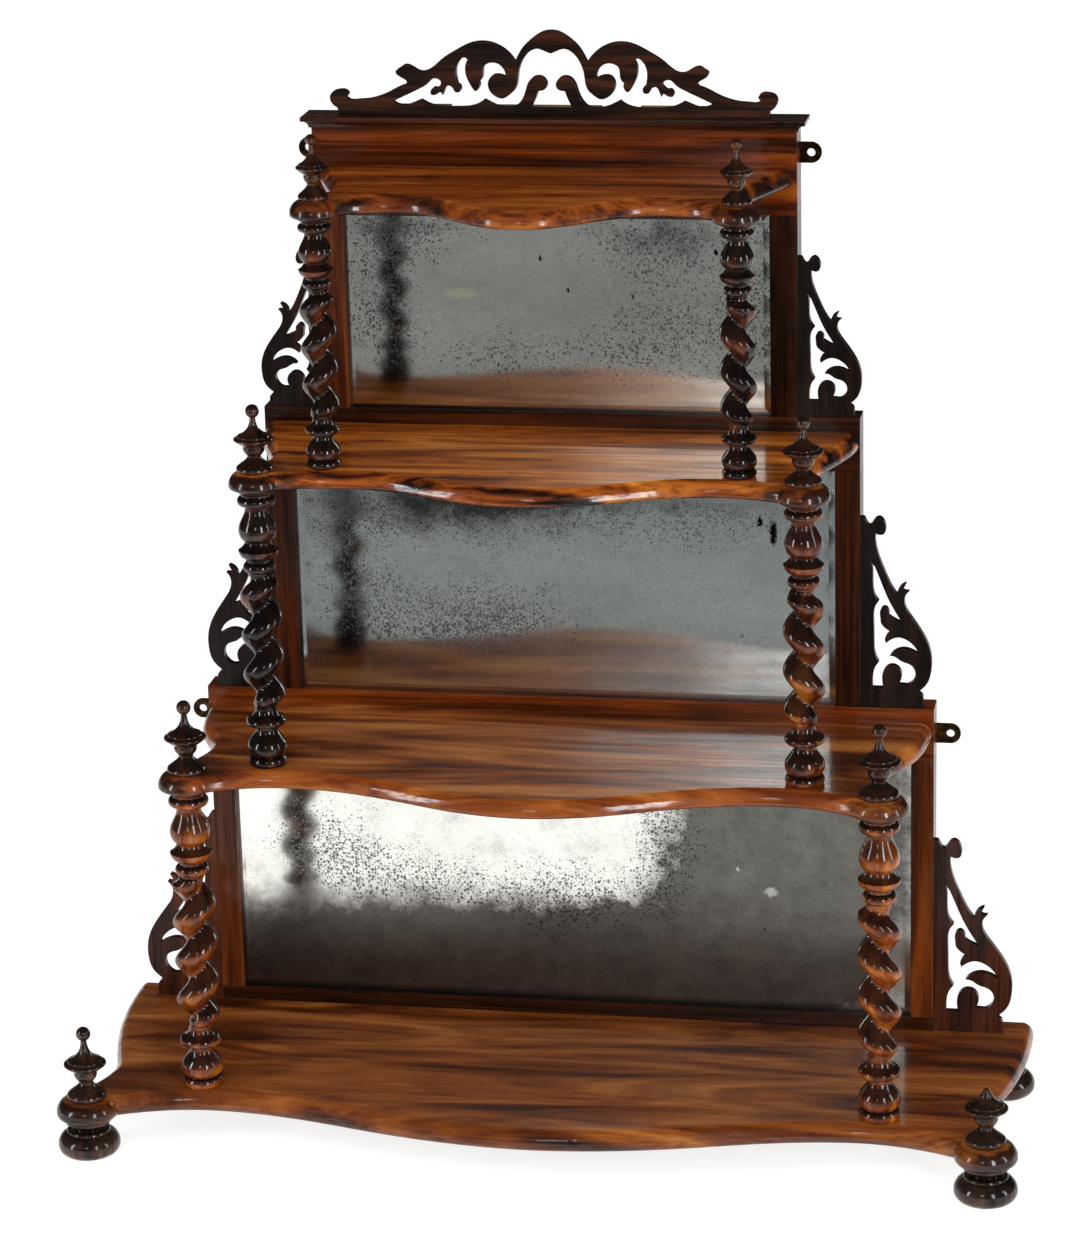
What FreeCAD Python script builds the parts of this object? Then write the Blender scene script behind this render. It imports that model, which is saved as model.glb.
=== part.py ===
import FreeCAD, Part
import math
import os

# Four-tier graduated etagere with mirrored back, barley-twist columns, turned
# finials, bun feet, pierced side frets and a pierced crest.
# Millimetres.  Origin on the floor, midway across and midway front to back.
# +X is to the right of someone facing the shelves, -Y is the front, +Z is up.

# ---- Levels ----
footHeight = 30.5            # floor to the underside of the base shelf
baseThickness = 15.0
shelfThickness = 13.0
lowerClear = 245.0           # shelf top to the underside of the next shelf
middleClear = 219.0
upperClear = 190.5
railLip = 11.5               # how far a rail shows above the shelf in front of it
friezeShown = 28.8           # frieze above the top shelf
corniceThickness = 8.5
crestHeight = 65.5

# ---- Back frame ----
frameDepth = 25.0
lowerHalfWidth = 290.0
middleHalfWidth = 232.9
upperHalfWidth = 186.0
lowerStileWidth = 17.7
middleStileWidth = 19.5
upperStileWidth = 21.4
baseRailHeight = 11.0
baseRailFloor = 3.0          # wood left under the tenons in the base rail
baseRailRebate = 5.5         # glass tucked behind the base rail
railHeight = 42.0
friezeHeight = 64.0
tenonLength = 8.0
tenonWidth = 7.0
tenonThickness = 8.0
tenonSetback = 8.0           # frame front to the near cheek of a tenon
rebateWidth = 6.0            # glass tucked behind the frame on every side
glassSetback = 5.0           # frame front to the face of the glass
glassThickness = 4.0
glassBevelWidth = 11.0
glassBevelDepth = 0.9
glassClearance = 0.1         # between the rebate, the glass and the backboard
backboardThickness = 6.0
corniceOverhang = 8.0
corniceEndOverhang = 7.0
corniceCove = 5.5

# ---- Shelf edges and corner knobs ----
edgeInset = 7.5              # top edge line behind the widest line
edgeDrop = 10.0              # top down to the widest line
edgeBelly = (2.2, 3.8)       # in from the widest line, and down, at mid curve
edgeReturn = 2.2             # underside edge behind the widest line
edgeReturnBelly = (0.55, 0.65)   # mid curve: in, and share of the drop below the widest line
mouldingBand = 13.0          # depth of wood that carries the moulding
slabInset = 10.0             # flat middle of the board behind the widest line
pathOverrun = 3.0            # moulding made past the back, then trimmed

# Half plans, from the front-to-back centre line outwards: across, then forward
# of the frame front.  Each runs into the corner knob, and spreads across with the
# back frame, from the half width of frame that it is drawn for.
lowerPlanHalfWidth = 290.0   # base and second shelves
middlePlanHalfWidth = 232.9  # third shelf
upperPlanHalfWidth = 186.0   # top shelf
baseFront = [(0, 230.5), (58, 226), (118, 214), (177, 198),
             (222, 190), (262, 188.5), (300, 196), (331, 209)]
baseSide = [(366, 191), (357, 181), (348, 160), (344.5, 140), (351, 107), (361, 66), (367, 20), (368, -25)]
secondFront = [(0, 211), (32, 207.5), (60, 200), (86, 189.5),
               (120, 176.5), (165, 166), (205, 166), (252, 185)]
secondSide = [(281, 158), (273, 143), (264.5, 118), (263.5, 98), (272, 76), (281, 55), (286, 30), (289, 0)]
thirdFront = [(0, 181.5), (31, 177.5), (58, 168.5), (84, 157),
              (110, 147.5), (142, 143.5), (170, 147), (195, 157)]
thirdSide = [(221, 135), (213, 121), (207.5, 101), (210, 83), (218, 58), (227, 30), (232, 0)]
topFront = [(0, 164.5), (18, 161), (34, 152), (52, 137), (72, 121.5), (98, 112.5), (124, 117), (147, 134)]
topSide = [(171, 120), (162.5, 106), (156.5, 88), (158, 68), (166, 45), (175, 20), (183, 0)]

baseKnob = (347.5, 205.5)    # across, then forward of the frame front
secondKnob = (264.1, 168.0)
thirdKnob = (206.0, 143.6)
topKnob = (156.8, 126.2)
baseKnobRadius = 24.0
secondKnobRadius = 22.5
thirdKnobRadius = 20.5
topKnobRadius = 18.0

# ---- Columns: turned ends of the lower pair, the others are scaled ----
columnRadius = 16.4
twistPitch = 32.0
twistThrow = 0.29            # axis of the bead off the column's axis, over its radius
sectionsPerTurn = 12
twistRunOut = 0.25           # turns over which the twist rises at each end
twistEndShare = 0.94         # twist end radius over the neck radius
twistOverlap = 1.0           # twist carried into each turned end
# radius over height, from the shelf up
columnFoot = [
    [(0, 0), (14.4, 0)],
    [(14.4, 0), (15.8, 3.8), (14.2, 7.4)],
    [(14.2, 7.4), (12.4, 7.8)],
    [(12.4, 7.8), (15.4, 11.5), (16.2, 16), (14, 22), (9.6, 28.5), (9.2, 32.5)],
    [(9.2, 32.5), (13.4, 34)],
    [(13.4, 34), (16.2, 37.6), (14.8, 40.6)],
    [(14.8, 40.6), (10.8, 43), (9, 47), (9, 51)],
    [(9, 51), (0, 51)],
]
# radius over depth, from the shelf above downwards
columnCap = [
    [(0, 0), (15, 0)],
    [(15, 0), (15, 2.5)],
    [(15, 2.5), (12.4, 3.8), (12, 6.4)],
    [(12, 6.4), (15.5, 10.4), (12.6, 14.2)],
    [(12.6, 14.2), (9.8, 14.8)],
    [(9.8, 14.8), (9.6, 18), (12.4, 25.5), (15.4, 34), (14.6, 39.5), (11.6, 43.6)],
    [(11.6, 43.6), (10.8, 45)],
    [(10.8, 45), (12.6, 48.6), (16.2, 51.8)],
    [(16.2, 51.8), (14.8, 56), (9.2, 59.4)],
    [(9.2, 59.4), (9.2, 62)],
    [(9.2, 62), (13, 66), (9.4, 70.5)],
    [(9.4, 70.5), (9, 73)],
    [(9, 73), (0, 73)],
]
# per tier: radius scale, height scale, bead crests at the front above the shelf
lowerColumn = (1.0, 1.0, {"left": 78.1, "right": 61.4})
middleColumn = (0.94, 0.93, {"left": 78.5, "right": 82.0})
upperColumn = (0.81, 0.76, {"left": 68.9, "right": 74.7})
spigotRadius = 5.0
spigotLength = 8.0
spigotClearance = 0.3

# ---- Finials: profile of the third pair, the others are scaled ----
finialProfile = [
    [(0, 0), (12.8, 0)],
    [(12.8, 0), (14, 2.3), (12.8, 4.4)],
    [(12.8, 4.4), (10.8, 5.9), (8.4, 7.7), (6, 9.9), (5.1, 11.4)],
    [(5.1, 11.4), (5.8, 13), (7.4, 14.9), (8.1, 16.6), (8.2, 18.4)],
    [(8.2, 18.4), (8, 19.2), (8.9, 20)],
    [(8.9, 20), (11.8, 21.9), (14.3, 23.9)],
    [(14.3, 23.9), (15.1, 24.8), (14.6, 25.7)],
    [(14.6, 25.7), (12.2, 26.8)],
    [(12.2, 26.8), (12.1, 27.6), (11.2, 27.8)],
    [(11.2, 27.8), (8.6, 29.3), (6.4, 31), (4.6, 33)],
    [(4.6, 33), (3.4, 35.2), (2.5, 38.2), (2.1, 41.6)],
]
finialBallHeight = 46.2
finialBallRadius = 5.2
finialStumpHeight = 38.0     # where the damaged finial ends
finialStumpTip = 1.6
# radius scale, height scale
baseFinial = (1.09, 1.15)
secondFinial = (1.07, 1.11)
thirdFinial = (1.0, 1.0)
topFinial = (0.8, 0.96)
dowelRadius = 3.5            # dowel under a finial, down through the shelf
dowelReach = 12.0            # length of dowel below the shelf
dowelClearance = 0.3

# ---- Bun feet: radius over depth below the base shelf ----
footProfile = [
    [(0, 0), (18.4, 0)],
    [(18.4, 0), (18.6, 3), (15.6, 5.6)],
    [(15.6, 5.6), (13.1, 6.8), (12.3, 9.2)],
    [(12.3, 9.2), (14.8, 9.7)],
    [(14.8, 9.7), (16.6, 10.6), (17, 12.1)],
    [(17, 12.1), (20.4, 14.4), (23.1, 18), (24.1, 22.6), (23.4, 26.2), (21.3, 28.9), (18.5, 30.5)],
    [(18.5, 30.5), (0, 30.5)],
]
footBunRadius = 24.1
footInset = 10.0             # rear bun in front of the wall plane

# ---- Side frets ----
fretThickness = 6.5
fretSetback = 1.0            # behind the frame front
lowerFretHeight = 161.4
middleFretHeight = 153.7
upperFretHeight = 125.1
lowerFretWidth = 62.3
middleFretWidth = 55.1
upperFretWidth = 48.0
# Outline of the lower fret: out from the stile, then up.
fretOutlineSize = (62.3, 161.4)
fretOutline = [
    [(0, 0), (55, 0)],
    [(55, 0), (55, 9.5)],
    [(55, 9.5), (51.5, 13.5), (49.5, 14)],
    [(49.5, 14), (52.5, 16), (59, 23), (62, 34), (62, 44.5), (59, 55.5), (52.5, 67),
     (44.5, 78), (39.5, 86), (38.4, 93), (42.5, 100)],
    [(42.5, 100), (39.4, 99.8), (37, 101)],
    [(37, 101), (40, 106.5)],
    [(40, 106.5), (34.5, 103.5), (32, 97)],
    [(32, 97), (28, 102.5), (21.5, 115.5), (16.5, 127.5), (13.5, 138.5), (13.2, 148)],
    [(13.2, 148), (21.5, 149.2), (18.5, 160.8), (10, 156.5)],
    [(10, 156.5), (7.6, 155), (5, 158.5), (3, 161.4)],
    [(3, 161.4), (0, 161.4)],
    [(0, 161.4), (0, 0)],
]
fretOpening = [
    [(9.5, 124), (10.8, 115.5), (11, 102.5), (12.5, 96), (16, 91)],
    [(16, 91), (12.5, 85.5), (11.5, 73), (11.8, 57), (12.5, 47), (16, 39)],
    [(16, 39), (12.5, 34), (10.5, 25.5), (10.5, 17)],
    [(10.5, 17), (20, 17)],
    [(20, 17), (18.8, 25.5), (20.5, 32.5), (27, 36.5), (34, 33.5), (36, 28), (32.5, 20.5)],
    [(32.5, 20.5), (40.5, 20)],
    [(40.5, 20), (46, 24), (48, 30), (45.5, 36), (40.5, 38.8), (36.5, 40), (31, 43.5), (25.5, 44.5)],
    [(25.5, 44.5), (29.5, 48.5), (37.5, 51), (46, 49), (51.5, 46)],
    [(51.5, 46), (48.5, 51.5), (40.5, 58.5), (32.5, 60.5), (26.5, 58.5), (22.5, 55.5)],
    [(22.5, 55.5), (21.2, 59), (23, 62.5), (28, 65)],
    [(28, 65), (22.5, 67.5), (17.5, 73)],
    [(17.5, 73), (17, 79), (18, 84.5), (21, 86), (24, 84), (24.5, 79)],
    [(24.5, 79), (30, 75.5), (36.5, 73)],
    [(36.5, 73), (32.5, 79), (24.5, 92.5), (18.5, 106), (12.5, 120)],
    [(12.5, 120), (9.5, 124)],
]

# ---- Crest: right half, out from the middle, then up ----
crestThickness = 7.0
crestHalfWidth = 171.2
crestSetback = 3.0
crestOutlineSize = (167.8, 65.5)
crestOutline = [
    [(162, 0), (162, 5)],
    [(162, 5), (163, 6.5)],
    [(163, 6.5), (166.5, 9.5), (167.8, 14.5), (165.5, 18.2),
     (161, 19.6), (156.5, 19.4), (153.8, 16.8), (155.5, 14)],
    [(155.5, 14), (153, 12), (147, 12), (140, 12.5), (133, 14), (125, 17), (117.5, 21), (110, 24)],
    [(110, 24), (109, 26.5), (113, 29.5), (117, 33), (113.5, 37)],
    [(113.5, 37), (109, 39), (105, 37.5), (101, 35), (97, 34), (93, 35), (83.5, 42.5),
     (72, 50), (61, 55.5), (50, 57), (38.5, 53.5), (27, 42)],
    [(27, 42), (24, 48), (20.5, 53.5), (16, 58), (10.5, 62.2), (4.5, 65), (0, 65.5)],
]
crestOpeningTop = [
    [(120, 11), (112, 15), (105.5, 18), (98.5, 21.5), (93, 25), (88, 29), (83.8, 27.5), (86.5, 21.5)],
    [(86.5, 21.5), (90.5, 20.5), (91, 17), (87, 16.6), (84, 18.4), (82, 16)],
    [(82, 16), (80.5, 20), (78, 23.5), (74.5, 22), (72.5, 18.8), (69, 19), (68.2, 22), (70.5, 24.5)],
    [(70.5, 24.5), (71.5, 29.5), (71.5, 35.5), (68.5, 42.5), (65, 45), (62.5, 43.5)],
    [(62.5, 43.5), (64.4, 38), (64, 31.5), (61, 24.5), (56.5, 19.6), (54.4, 22), (54.5, 26.5)],
    [(54.5, 26.5), (51.5, 31), (50.5, 38), (45, 41.2), (39, 40), (34.5, 34), (34, 30)],
    [(34, 30), (39, 32), (44, 31.5), (47.5, 26.5), (46.5, 20), (42, 15.5), (37, 14), (32, 16.5), (28, 20)],
    [(28, 20), (25.5, 26), (24.5, 34), (22, 41.5), (16, 49.5), (10, 52), (5, 50.5), (0, 48.5)],
]
crestOpeningBottom = [
    [(120, 11), (114.5, 8.4), (109, 8.4), (104.5, 10), (98.5, 12.5)],
    [(98.5, 12.5), (92, 9), (86, 7.4), (72, 7), (60, 8), (51, 13)],
    [(51, 13), (46.5, 10.6), (41, 8.2), (34.5, 7.2), (28, 8), (22, 14), (19.5, 20),
     (17.5, 26), (12.5, 30.8), (6, 29.8), (3.4, 25), (10, 20)],
    [(10, 20), (12, 14.5), (16, 6.5)],
    [(16, 6.5), (0, 6.5)],
]
glueBlockSpans = [(-133, -80), (-46, 36), (66, 146)]
glueBlockHeight = 6.5
glueBlockDepth = 10.0

# ---- Hanging plates, let into the back ----
plateHeight = 16.0
plateThickness = 2.0
plateHoleRadius = 3.15
upperHoleOutside = 8.0       # hole's centre beyond the end of the frieze board
upperHoleAboveTopShelf = 8.5
lowerHoleOutside = 11.0      # and beyond the end of the lower rail
lowerHoleBelowRailTop = 27.0
upperPlateLength = 46.0      # from the hole's centre inwards
lowerPlateLength = 38.0
plateScrewSpacing = 15.0
plateScrewFromEnd = 8.0
plateClearance = 0.2

# ---- Screws and pins ----
screwRadius = 1.6
screwHeadRadius = 3.2
plateScrewLength = 11.0
shelfScrewRadius = 2.0
shelfScrewHeadRadius = 4.0
shelfScrewGrip = 18.0        # thread in the piece that is pulled up
secondScrewSpacing = 170.0   # outer screws from the middle one
thirdScrewSpacing = 130.0
topScrewSpacing = 110.0
screwClearance = 0.15
pinRadius = 0.8
pinLength = 9.0
pinBite = 4.5
pinClearance = 0.1
pinHeightShares = (0.2, 0.8) # up each stile
fitClearance = 0.3           # glass, boards and tenons in their seats

# ---- Places worked out from the sizes above ----
overallDepth = frameDepth + max(baseKnob[1] + baseKnobRadius, baseFront[0][1])
backPlane = overallDepth / 2
frameFront = backPlane - frameDepth
glassFront = frameFront + glassSetback

baseTop = footHeight + baseThickness
secondTop = baseTop + lowerClear + shelfThickness
thirdTop = secondTop + middleClear + shelfThickness
topTop = thirdTop + upperClear + shelfThickness
baseRailTop = baseTop + baseRailHeight
lowerRailTop = secondTop + railLip
upperRailTop = thirdTop + railLip
friezeTop = topTop + friezeShown
corniceTop = friezeTop + corniceThickness

lowerSpread = lowerHalfWidth / lowerPlanHalfWidth
middleSpread = middleHalfWidth / middlePlanHalfWidth
upperSpread = upperHalfWidth / upperPlanHalfWidth

sides = {"left": -1, "right": 1}


def vector(x, y, z):
    return FreeCAD.Vector(x, y, z)


def box(x0, x1, y0, y1, z0, z1):
    return Part.makeBox(x1 - x0, y1 - y0, z1 - z0, vector(x0, y0, z0))


def rod(radius, start, end):
    axis = end.sub(start)
    return Part.makeCylinder(radius, axis.Length, start, axis)


def mirrored(shape):
    return shape.mirror(vector(0, 0, 0), vector(1, 0, 0))


def onSide(shape, side):
    return shape if side == "right" else mirrored(shape)


def stroke(points):
    """One edge: a line, an arc through three points, or a smooth curve."""
    if len(points) == 2:
        return Part.makeLine(points[0], points[1])
    if len(points) == 3:
        return Part.Arc(*points).toShape()
    curve = Part.BSplineCurve()
    curve.interpolate(points)
    return curve.toShape()


def contour(strokes, place):
    """Closed wire from strokes of flat points, each put in space by place."""
    return Part.Wire([stroke([place(a, b) for a, b in points]) for points in strokes])


def turned(strokes, axisPoint, radiusScale, heightScale):
    """Solid of revolution; heightScale below zero hangs the profile down."""
    def place(radius, height):
        return axisPoint.add(vector(radius * radiusScale, 0, height * heightScale))

    last = strokes[-1][-1]
    first = strokes[0][0]
    closed = strokes if last == first else strokes + [[last, first]]
    face = Part.Face(contour(closed, place))
    solid = face.revolve(axisPoint, vector(0, 0, 1), 360)
    return solid if solid.Volume > 0 else solid.reversed()


def column(clear, scales, crestAtFront, foot):
    """One left-hand barley-twist column; the right-hand ones are its mirror image."""
    radiusScale, heightScale = scales
    footTop = columnFoot[-1][0][1] * heightScale
    capDepth = columnCap[-1][0][1] * heightScale
    beadRadius = columnRadius * radiusScale
    throw = beadRadius * twistThrow
    neckRadius = columnFoot[-1][0][0] * radiusScale
    pitch = twistPitch * (0.5 + 0.5 * heightScale)
    twistBottom = footTop - twistOverlap
    twistTop = clear - capDepth + twistOverlap
    count = math.ceil((twistTop - twistBottom) / pitch * sectionsPerTurn)
    step = (twistTop - twistBottom) / count
    runOut = pitch * twistRunOut
    endRadius = neckRadius * twistEndShare
    rings = []
    for index in range(count + 1):
        height = twistBottom + index * step
        fullness = min(1, (height - twistBottom) / runOut, (twistTop - height) / runOut)
        offset = throw * fullness
        radius = endRadius + (beadRadius - throw - endRadius) * fullness
        angle = 2 * math.pi * (height - crestAtFront) / pitch - math.pi / 2
        centre = foot.add(vector(offset * math.cos(angle), offset * math.sin(angle), height))
        rings.append(Part.Wire(Part.makeCircle(radius, centre)))
    twist = Part.makeLoft(rings, True)
    lower = turned(columnFoot, foot, radiusScale, heightScale)
    upper = turned(columnCap, foot.add(vector(0, 0, clear)), radiusScale, -heightScale)
    spigot = rod(spigotRadius, foot.sub(vector(0, 0, spigotLength)), foot)
    socketEnd = foot.add(vector(0, 0, clear - dowelReach - fitClearance))
    socket = rod(dowelRadius + dowelClearance, socketEnd, foot.add(vector(0, 0, clear)))
    return lower.fuse([twist, upper, spigot]).cut(socket)


def finial(scales, foot, thickness, broken=False):
    """Turned finial with the dowel that goes down through the shelf corner."""
    radiusScale, heightScale = scales
    neck = finialProfile[-1][-1]
    strokes = finialProfile[:-1] if broken else list(finialProfile)
    if broken:
        neck = (finialStumpTip, finialStumpHeight)
        strokes.append([finialProfile[-2][-1], neck])
    strokes.append([neck, (0, neck[1])])
    body = turned(strokes, foot, radiusScale, heightScale)
    if not broken:
        centre = foot.add(vector(0, 0, finialBallHeight * heightScale))
        neckEnd = foot.add(vector(0, 0, neck[1] * heightScale))
        body = body.fuse([Part.makeSphere(finialBallRadius * radiusScale, centre),
                          rod(neck[0] * radiusScale, neckEnd, centre)])
    dowel = rod(dowelRadius, foot.sub(vector(0, 0, thickness + dowelReach)), foot)
    return body.fuse(dowel)


def bunFoot(top, hasSpigot):
    """Bun foot, with its own spigot at the rear or a finial's socket in front."""
    body = turned(footProfile, top, 1, -1)
    if hasSpigot:
        return body.fuse(rod(spigotRadius, top, top.add(vector(0, 0, spigotLength))))
    socketEnd = top.sub(vector(0, 0, dowelReach + fitClearance))
    return body.cut(rod(dowelRadius + dowelClearance, socketEnd, top))


def edgeProfile(thickness):
    """Section strokes of a shelf edge, out and up from the widest line's top."""
    def at(inset, drop):
        return (-inset, -drop)

    bellyInset, bellyDrop = edgeBelly
    turnInset, turnShare = edgeReturnBelly
    turnDrop = edgeDrop + (thickness - edgeDrop) * turnShare
    return [
        [at(mouldingBand, 0), at(edgeInset, 0)],
        [at(edgeInset, 0), at(bellyInset, bellyDrop), at(0, edgeDrop)],
        [at(0, edgeDrop), at(turnInset, turnDrop), at(edgeReturn, thickness)],
        [at(edgeReturn, thickness), at(mouldingBand, thickness)],
        [at(mouldingBand, thickness), at(mouldingBand, 0)],
    ]


def edgeMoulding(path, thickness):
    """Sweep the edge section along a flat path whose right-hand side is outside."""
    start = path.valueAt(path.FirstParameter)
    tangent = path.tangentAt(path.FirstParameter)
    right = vector(tangent.y, -tangent.x, 0)

    def place(across, up):
        return start.add(FreeCAD.Vector(right).multiply(across)).add(vector(0, 0, up))

    pipe = Part.BRepOffsetAPI.MakePipeShell(Part.Wire(path))
    pipe.setBiNormalMode(vector(0, 0, 1))
    pipe.add(contour(edgeProfile(thickness), place))
    pipe.build()
    pipe.makeSolid()
    return pipe.shape()


def insetPath(path, distance, count):
    """Points beside a path, a distance to its left, evenly spaced."""
    first = path.FirstParameter
    stride = (path.LastParameter - first) / (count - 1)
    points = []
    for index in range(count):
        parameter = first + index * stride
        tangent = path.tangentAt(parameter)
        leftward = vector(-tangent.y, tangent.x, 0)
        points.append(path.valueAt(parameter).add(leftward.multiply(distance)))
    return points


def knobTurning(radius, thickness, centre):
    strokes = [[(0, 0), (radius - edgeInset, 0)]]
    for points in edgeProfile(thickness)[1:3]:
        strokes.append([(radius + across, up) for across, up in points])
    strokes.append([strokes[-1][-1], (0, -thickness)])
    return turned(strokes, centre, 1, 1)


def shelfBoard(front, side, knob, knobRadius, spread, thickness, top, back):
    """Serpentine board with moulded front and sides and a round knob at each corner."""
    def place(across, forward):
        return vector(across * spread, frameFront - forward, top)

    half = [place(x, y) for x, y in front]
    whole = [vector(-p.x, p.y, p.z) for p in reversed(half[1:])] + half
    sidePoints = [place(x, y) for x, y in side]
    overrun = vector(0, pathOverrun, 0)
    frontPath = stroke(whole)
    sidePath = stroke(sidePoints[:-1] + [sidePoints[-1].add(overrun)])

    knobCentre = place(*knob)
    innerSide = insetPath(sidePath, slabInset, len(side))
    innerFront = insetPath(frontPath, slabInset, len(whole))
    mirrorSide = [vector(-p.x, p.y, p.z) for p in innerSide]
    leftKnob = vector(-knobCentre.x, knobCentre.y, top)
    slab = Part.Face(Part.Wire([
        stroke(innerFront),
        stroke([innerFront[-1], knobCentre]),
        stroke([knobCentre, innerSide[0]]),
        stroke(innerSide),
        stroke([innerSide[-1], mirrorSide[-1]]),
        stroke(list(reversed(mirrorSide))),
        stroke([mirrorSide[0], leftKnob]),
        stroke([leftKnob, innerFront[0]]),
    ])).extrude(vector(0, 0, -thickness))

    frontMoulding = edgeMoulding(frontPath, thickness)
    sideMoulding = edgeMoulding(sidePath, thickness)
    knobSolid = knobTurning(knobRadius, thickness, knobCentre)
    board = slab.fuse([frontMoulding, sideMoulding, mirrored(sideMoulding),
                       knobSolid, mirrored(knobSolid)])
    reach = knobCentre.x + 2 * knobRadius
    behind = box(-reach, reach, back, back + 4 * pathOverrun, top - thickness - 1, top + 1)
    return board.cut(behind).removeSplitter()


def tenon(across, start, end):
    """Tenon or mortise core between two heights, centred across on the given place."""
    y0 = frameFront + tenonSetback
    return box(across - tenonWidth / 2, across + tenonWidth / 2, y0, y0 + tenonThickness, start, end)


def mortise(across, start, end):
    y0 = frameFront + tenonSetback
    c = fitClearance
    half = tenonWidth / 2 + c
    return box(across - half, across + half, y0 - c, y0 + tenonThickness + c, start, end)


def tenonPlace(halfWidth, stileWidth):
    inner = halfWidth - stileWidth + rebateWidth
    return (inner + halfWidth) / 2


def stile(halfWidth, width, bottom, top, lowerTenon):
    """Right-hand stile with its glass rebate and a tenon at each end."""
    inner = halfWidth - width
    body = box(inner, halfWidth, frameFront, backPlane, bottom, top)
    rebate = box(inner - 1, inner + rebateWidth, glassFront, backPlane + 1, bottom - 1, top + 1)
    across = tenonPlace(halfWidth, width)
    tongue = tenon(across, bottom - lowerTenon, top + tenonLength)
    return body.cut(rebate).fuse(tongue).removeSplitter()


def rail(halfWidth, bottom, top, above, below):
    """Rail with rebates and mortises for the openings above and below it.

    above and below are (half width, stile width, tenon length, rebate) or None."""
    body = box(-halfWidth, halfWidth, frameFront, backPlane, bottom, top)
    for opening, edge, direction in ((above, top, -1), (below, bottom, 1)):
        if opening is None:
            continue
        openingHalf, stileWidth, tongue, rebate = opening
        reach = openingHalf - stileWidth + rebateWidth
        depth = rebate * direction
        low = min(edge - direction, edge + depth)
        high = max(edge - direction, edge + depth)
        body = body.cut(box(-reach, reach, glassFront, backPlane + 1, low, high))
        across = tenonPlace(openingHalf, stileWidth)
        hole = (tongue + fitClearance) * direction
        low = min(edge - direction, edge + hole)
        high = max(edge - direction, edge + hole)
        for sign in (-1, 1):
            body = body.cut(mortise(sign * across, low, high))
    return body


def glassSize(halfWidth, stileWidth, bottom, top, lowerRebate):
    reach = halfWidth - stileWidth + rebateWidth - fitClearance
    return reach, bottom - lowerRebate + fitClearance, top + rebateWidth - fitClearance


def mirrorGlass(reach, low, high):
    """Plate of glass with a shallow bevel round its face."""
    front = glassFront + glassClearance
    back = front + glassThickness

    def frameAt(y, inset):
        left, right = inset - reach, reach - inset
        bottom, top = low + inset, high - inset
        corners = [(left, bottom), (right, bottom), (right, top), (left, top), (left, bottom)]
        return Part.makePolygon([vector(x, y, z) for x, z in corners])

    edge = front + glassBevelDepth
    bevelled = Part.makeLoft([frameAt(front, glassBevelWidth), frameAt(edge, 0)], True, True)
    plate = Part.makeLoft([frameAt(edge, 0), frameAt(back, 0)], True, True)
    return bevelled.fuse(plate).removeSplitter()


def backboard(reach, low, high):
    front = glassFront + glassThickness + 2 * glassClearance
    return box(-reach, reach, front, front + backboardThickness, low, high)


def fret(width, height, innerEdge, bottom):
    """Pierced side bracket for the right-hand side, standing on its base strip."""
    across = width / fretOutlineSize[0]
    up = height / fretOutlineSize[1]
    front = frameFront + fretSetback

    def place(x, z):
        return vector(innerEdge + x * across, front, bottom + z * up)

    outline = Part.Face(contour(fretOutline, place)).extrude(vector(0, fretThickness, 0))
    opening = Part.Face(contour(fretOpening, place)).extrude(vector(0, fretThickness + 2, 0))
    opening.translate(vector(0, -1, 0))
    return outline.cut(opening)


def crest():
    """Pierced crest, symmetrical about the middle."""
    front = frameFront + crestSetback

    across = crestHalfWidth / crestOutlineSize[0]
    up = crestHeight / crestOutlineSize[1]

    def rightSide(x, z):
        return vector(x * across, front, corniceTop + z * up)

    def leftSide(x, z):
        point = rightSide(x, z)
        return vector(-point.x, point.y, point.z)

    def edges(strokes, place):
        return [stroke([place(x, z) for x, z in points]) for points in strokes]

    base = [[(0, 0), crestOutline[0][0]]]
    outer = edges(base + crestOutline, rightSide) + edges(base + crestOutline, leftSide)
    inner = crestOpeningTop + crestOpeningBottom
    opening = edges(inner, rightSide) + edges(inner, leftSide)
    board = Part.Face(Part.Wire(Part.__sortEdges__(outer))).extrude(vector(0, crestThickness, 0))
    hollow = Part.Face(Part.Wire(Part.__sortEdges__(opening))).extrude(vector(0, crestThickness + 2, 0))
    hollow.translate(vector(0, -1, 0))
    return board.cut(hollow)


def cornice():
    """Flat cap with a cove under its front and ends."""
    reach = upperHalfWidth + corniceEndOverhang
    front = frameFront - corniceOverhang
    body = box(-reach, reach, front, backPlane, friezeTop, corniceTop)
    coves = [rod(corniceCove, vector(-reach - 1, front, friezeTop), vector(reach + 1, front, friezeTop))]
    for sign in (-1, 1):
        coves.append(rod(corniceCove, vector(sign * reach, front - 1, friezeTop),
                         vector(sign * reach, backPlane + 1, friezeTop)))
    return body.cut(coves)


def screw(point, direction, length, radius, headRadius, clearance=0.0):
    """Countersunk screw from its head's centre; with clearance, the hole for it."""
    headDepth = headRadius - radius
    head = Part.makeCone(headRadius + clearance, radius + clearance, headDepth, point, direction)
    tip = point.add(FreeCAD.Vector(direction).multiply(length + clearance))
    return head.fuse(rod(radius + clearance, point, tip))


def plateSolid(hole, length, clearance=0.0):
    """Right-hand hanging plate, or with clearance the recess for it."""
    front = backPlane - plateThickness
    half = plateHeight / 2 + clearance
    depth = plateThickness + (1 if clearance else 0)
    inner = hole.x - length - clearance
    body = box(inner, hole.x, front, front + depth, hole.z - half, hole.z + half)
    end = rod(half, vector(hole.x, front, hole.z), vector(hole.x, front + depth, hole.z))
    return body.fuse(end).removeSplitter()


def plateScrewPlaces(hole, length):
    start = hole.x - length + plateScrewFromEnd
    return [vector(start + index * plateScrewSpacing, backPlane, hole.z) for index in range(2)]


nodes = {}

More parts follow.
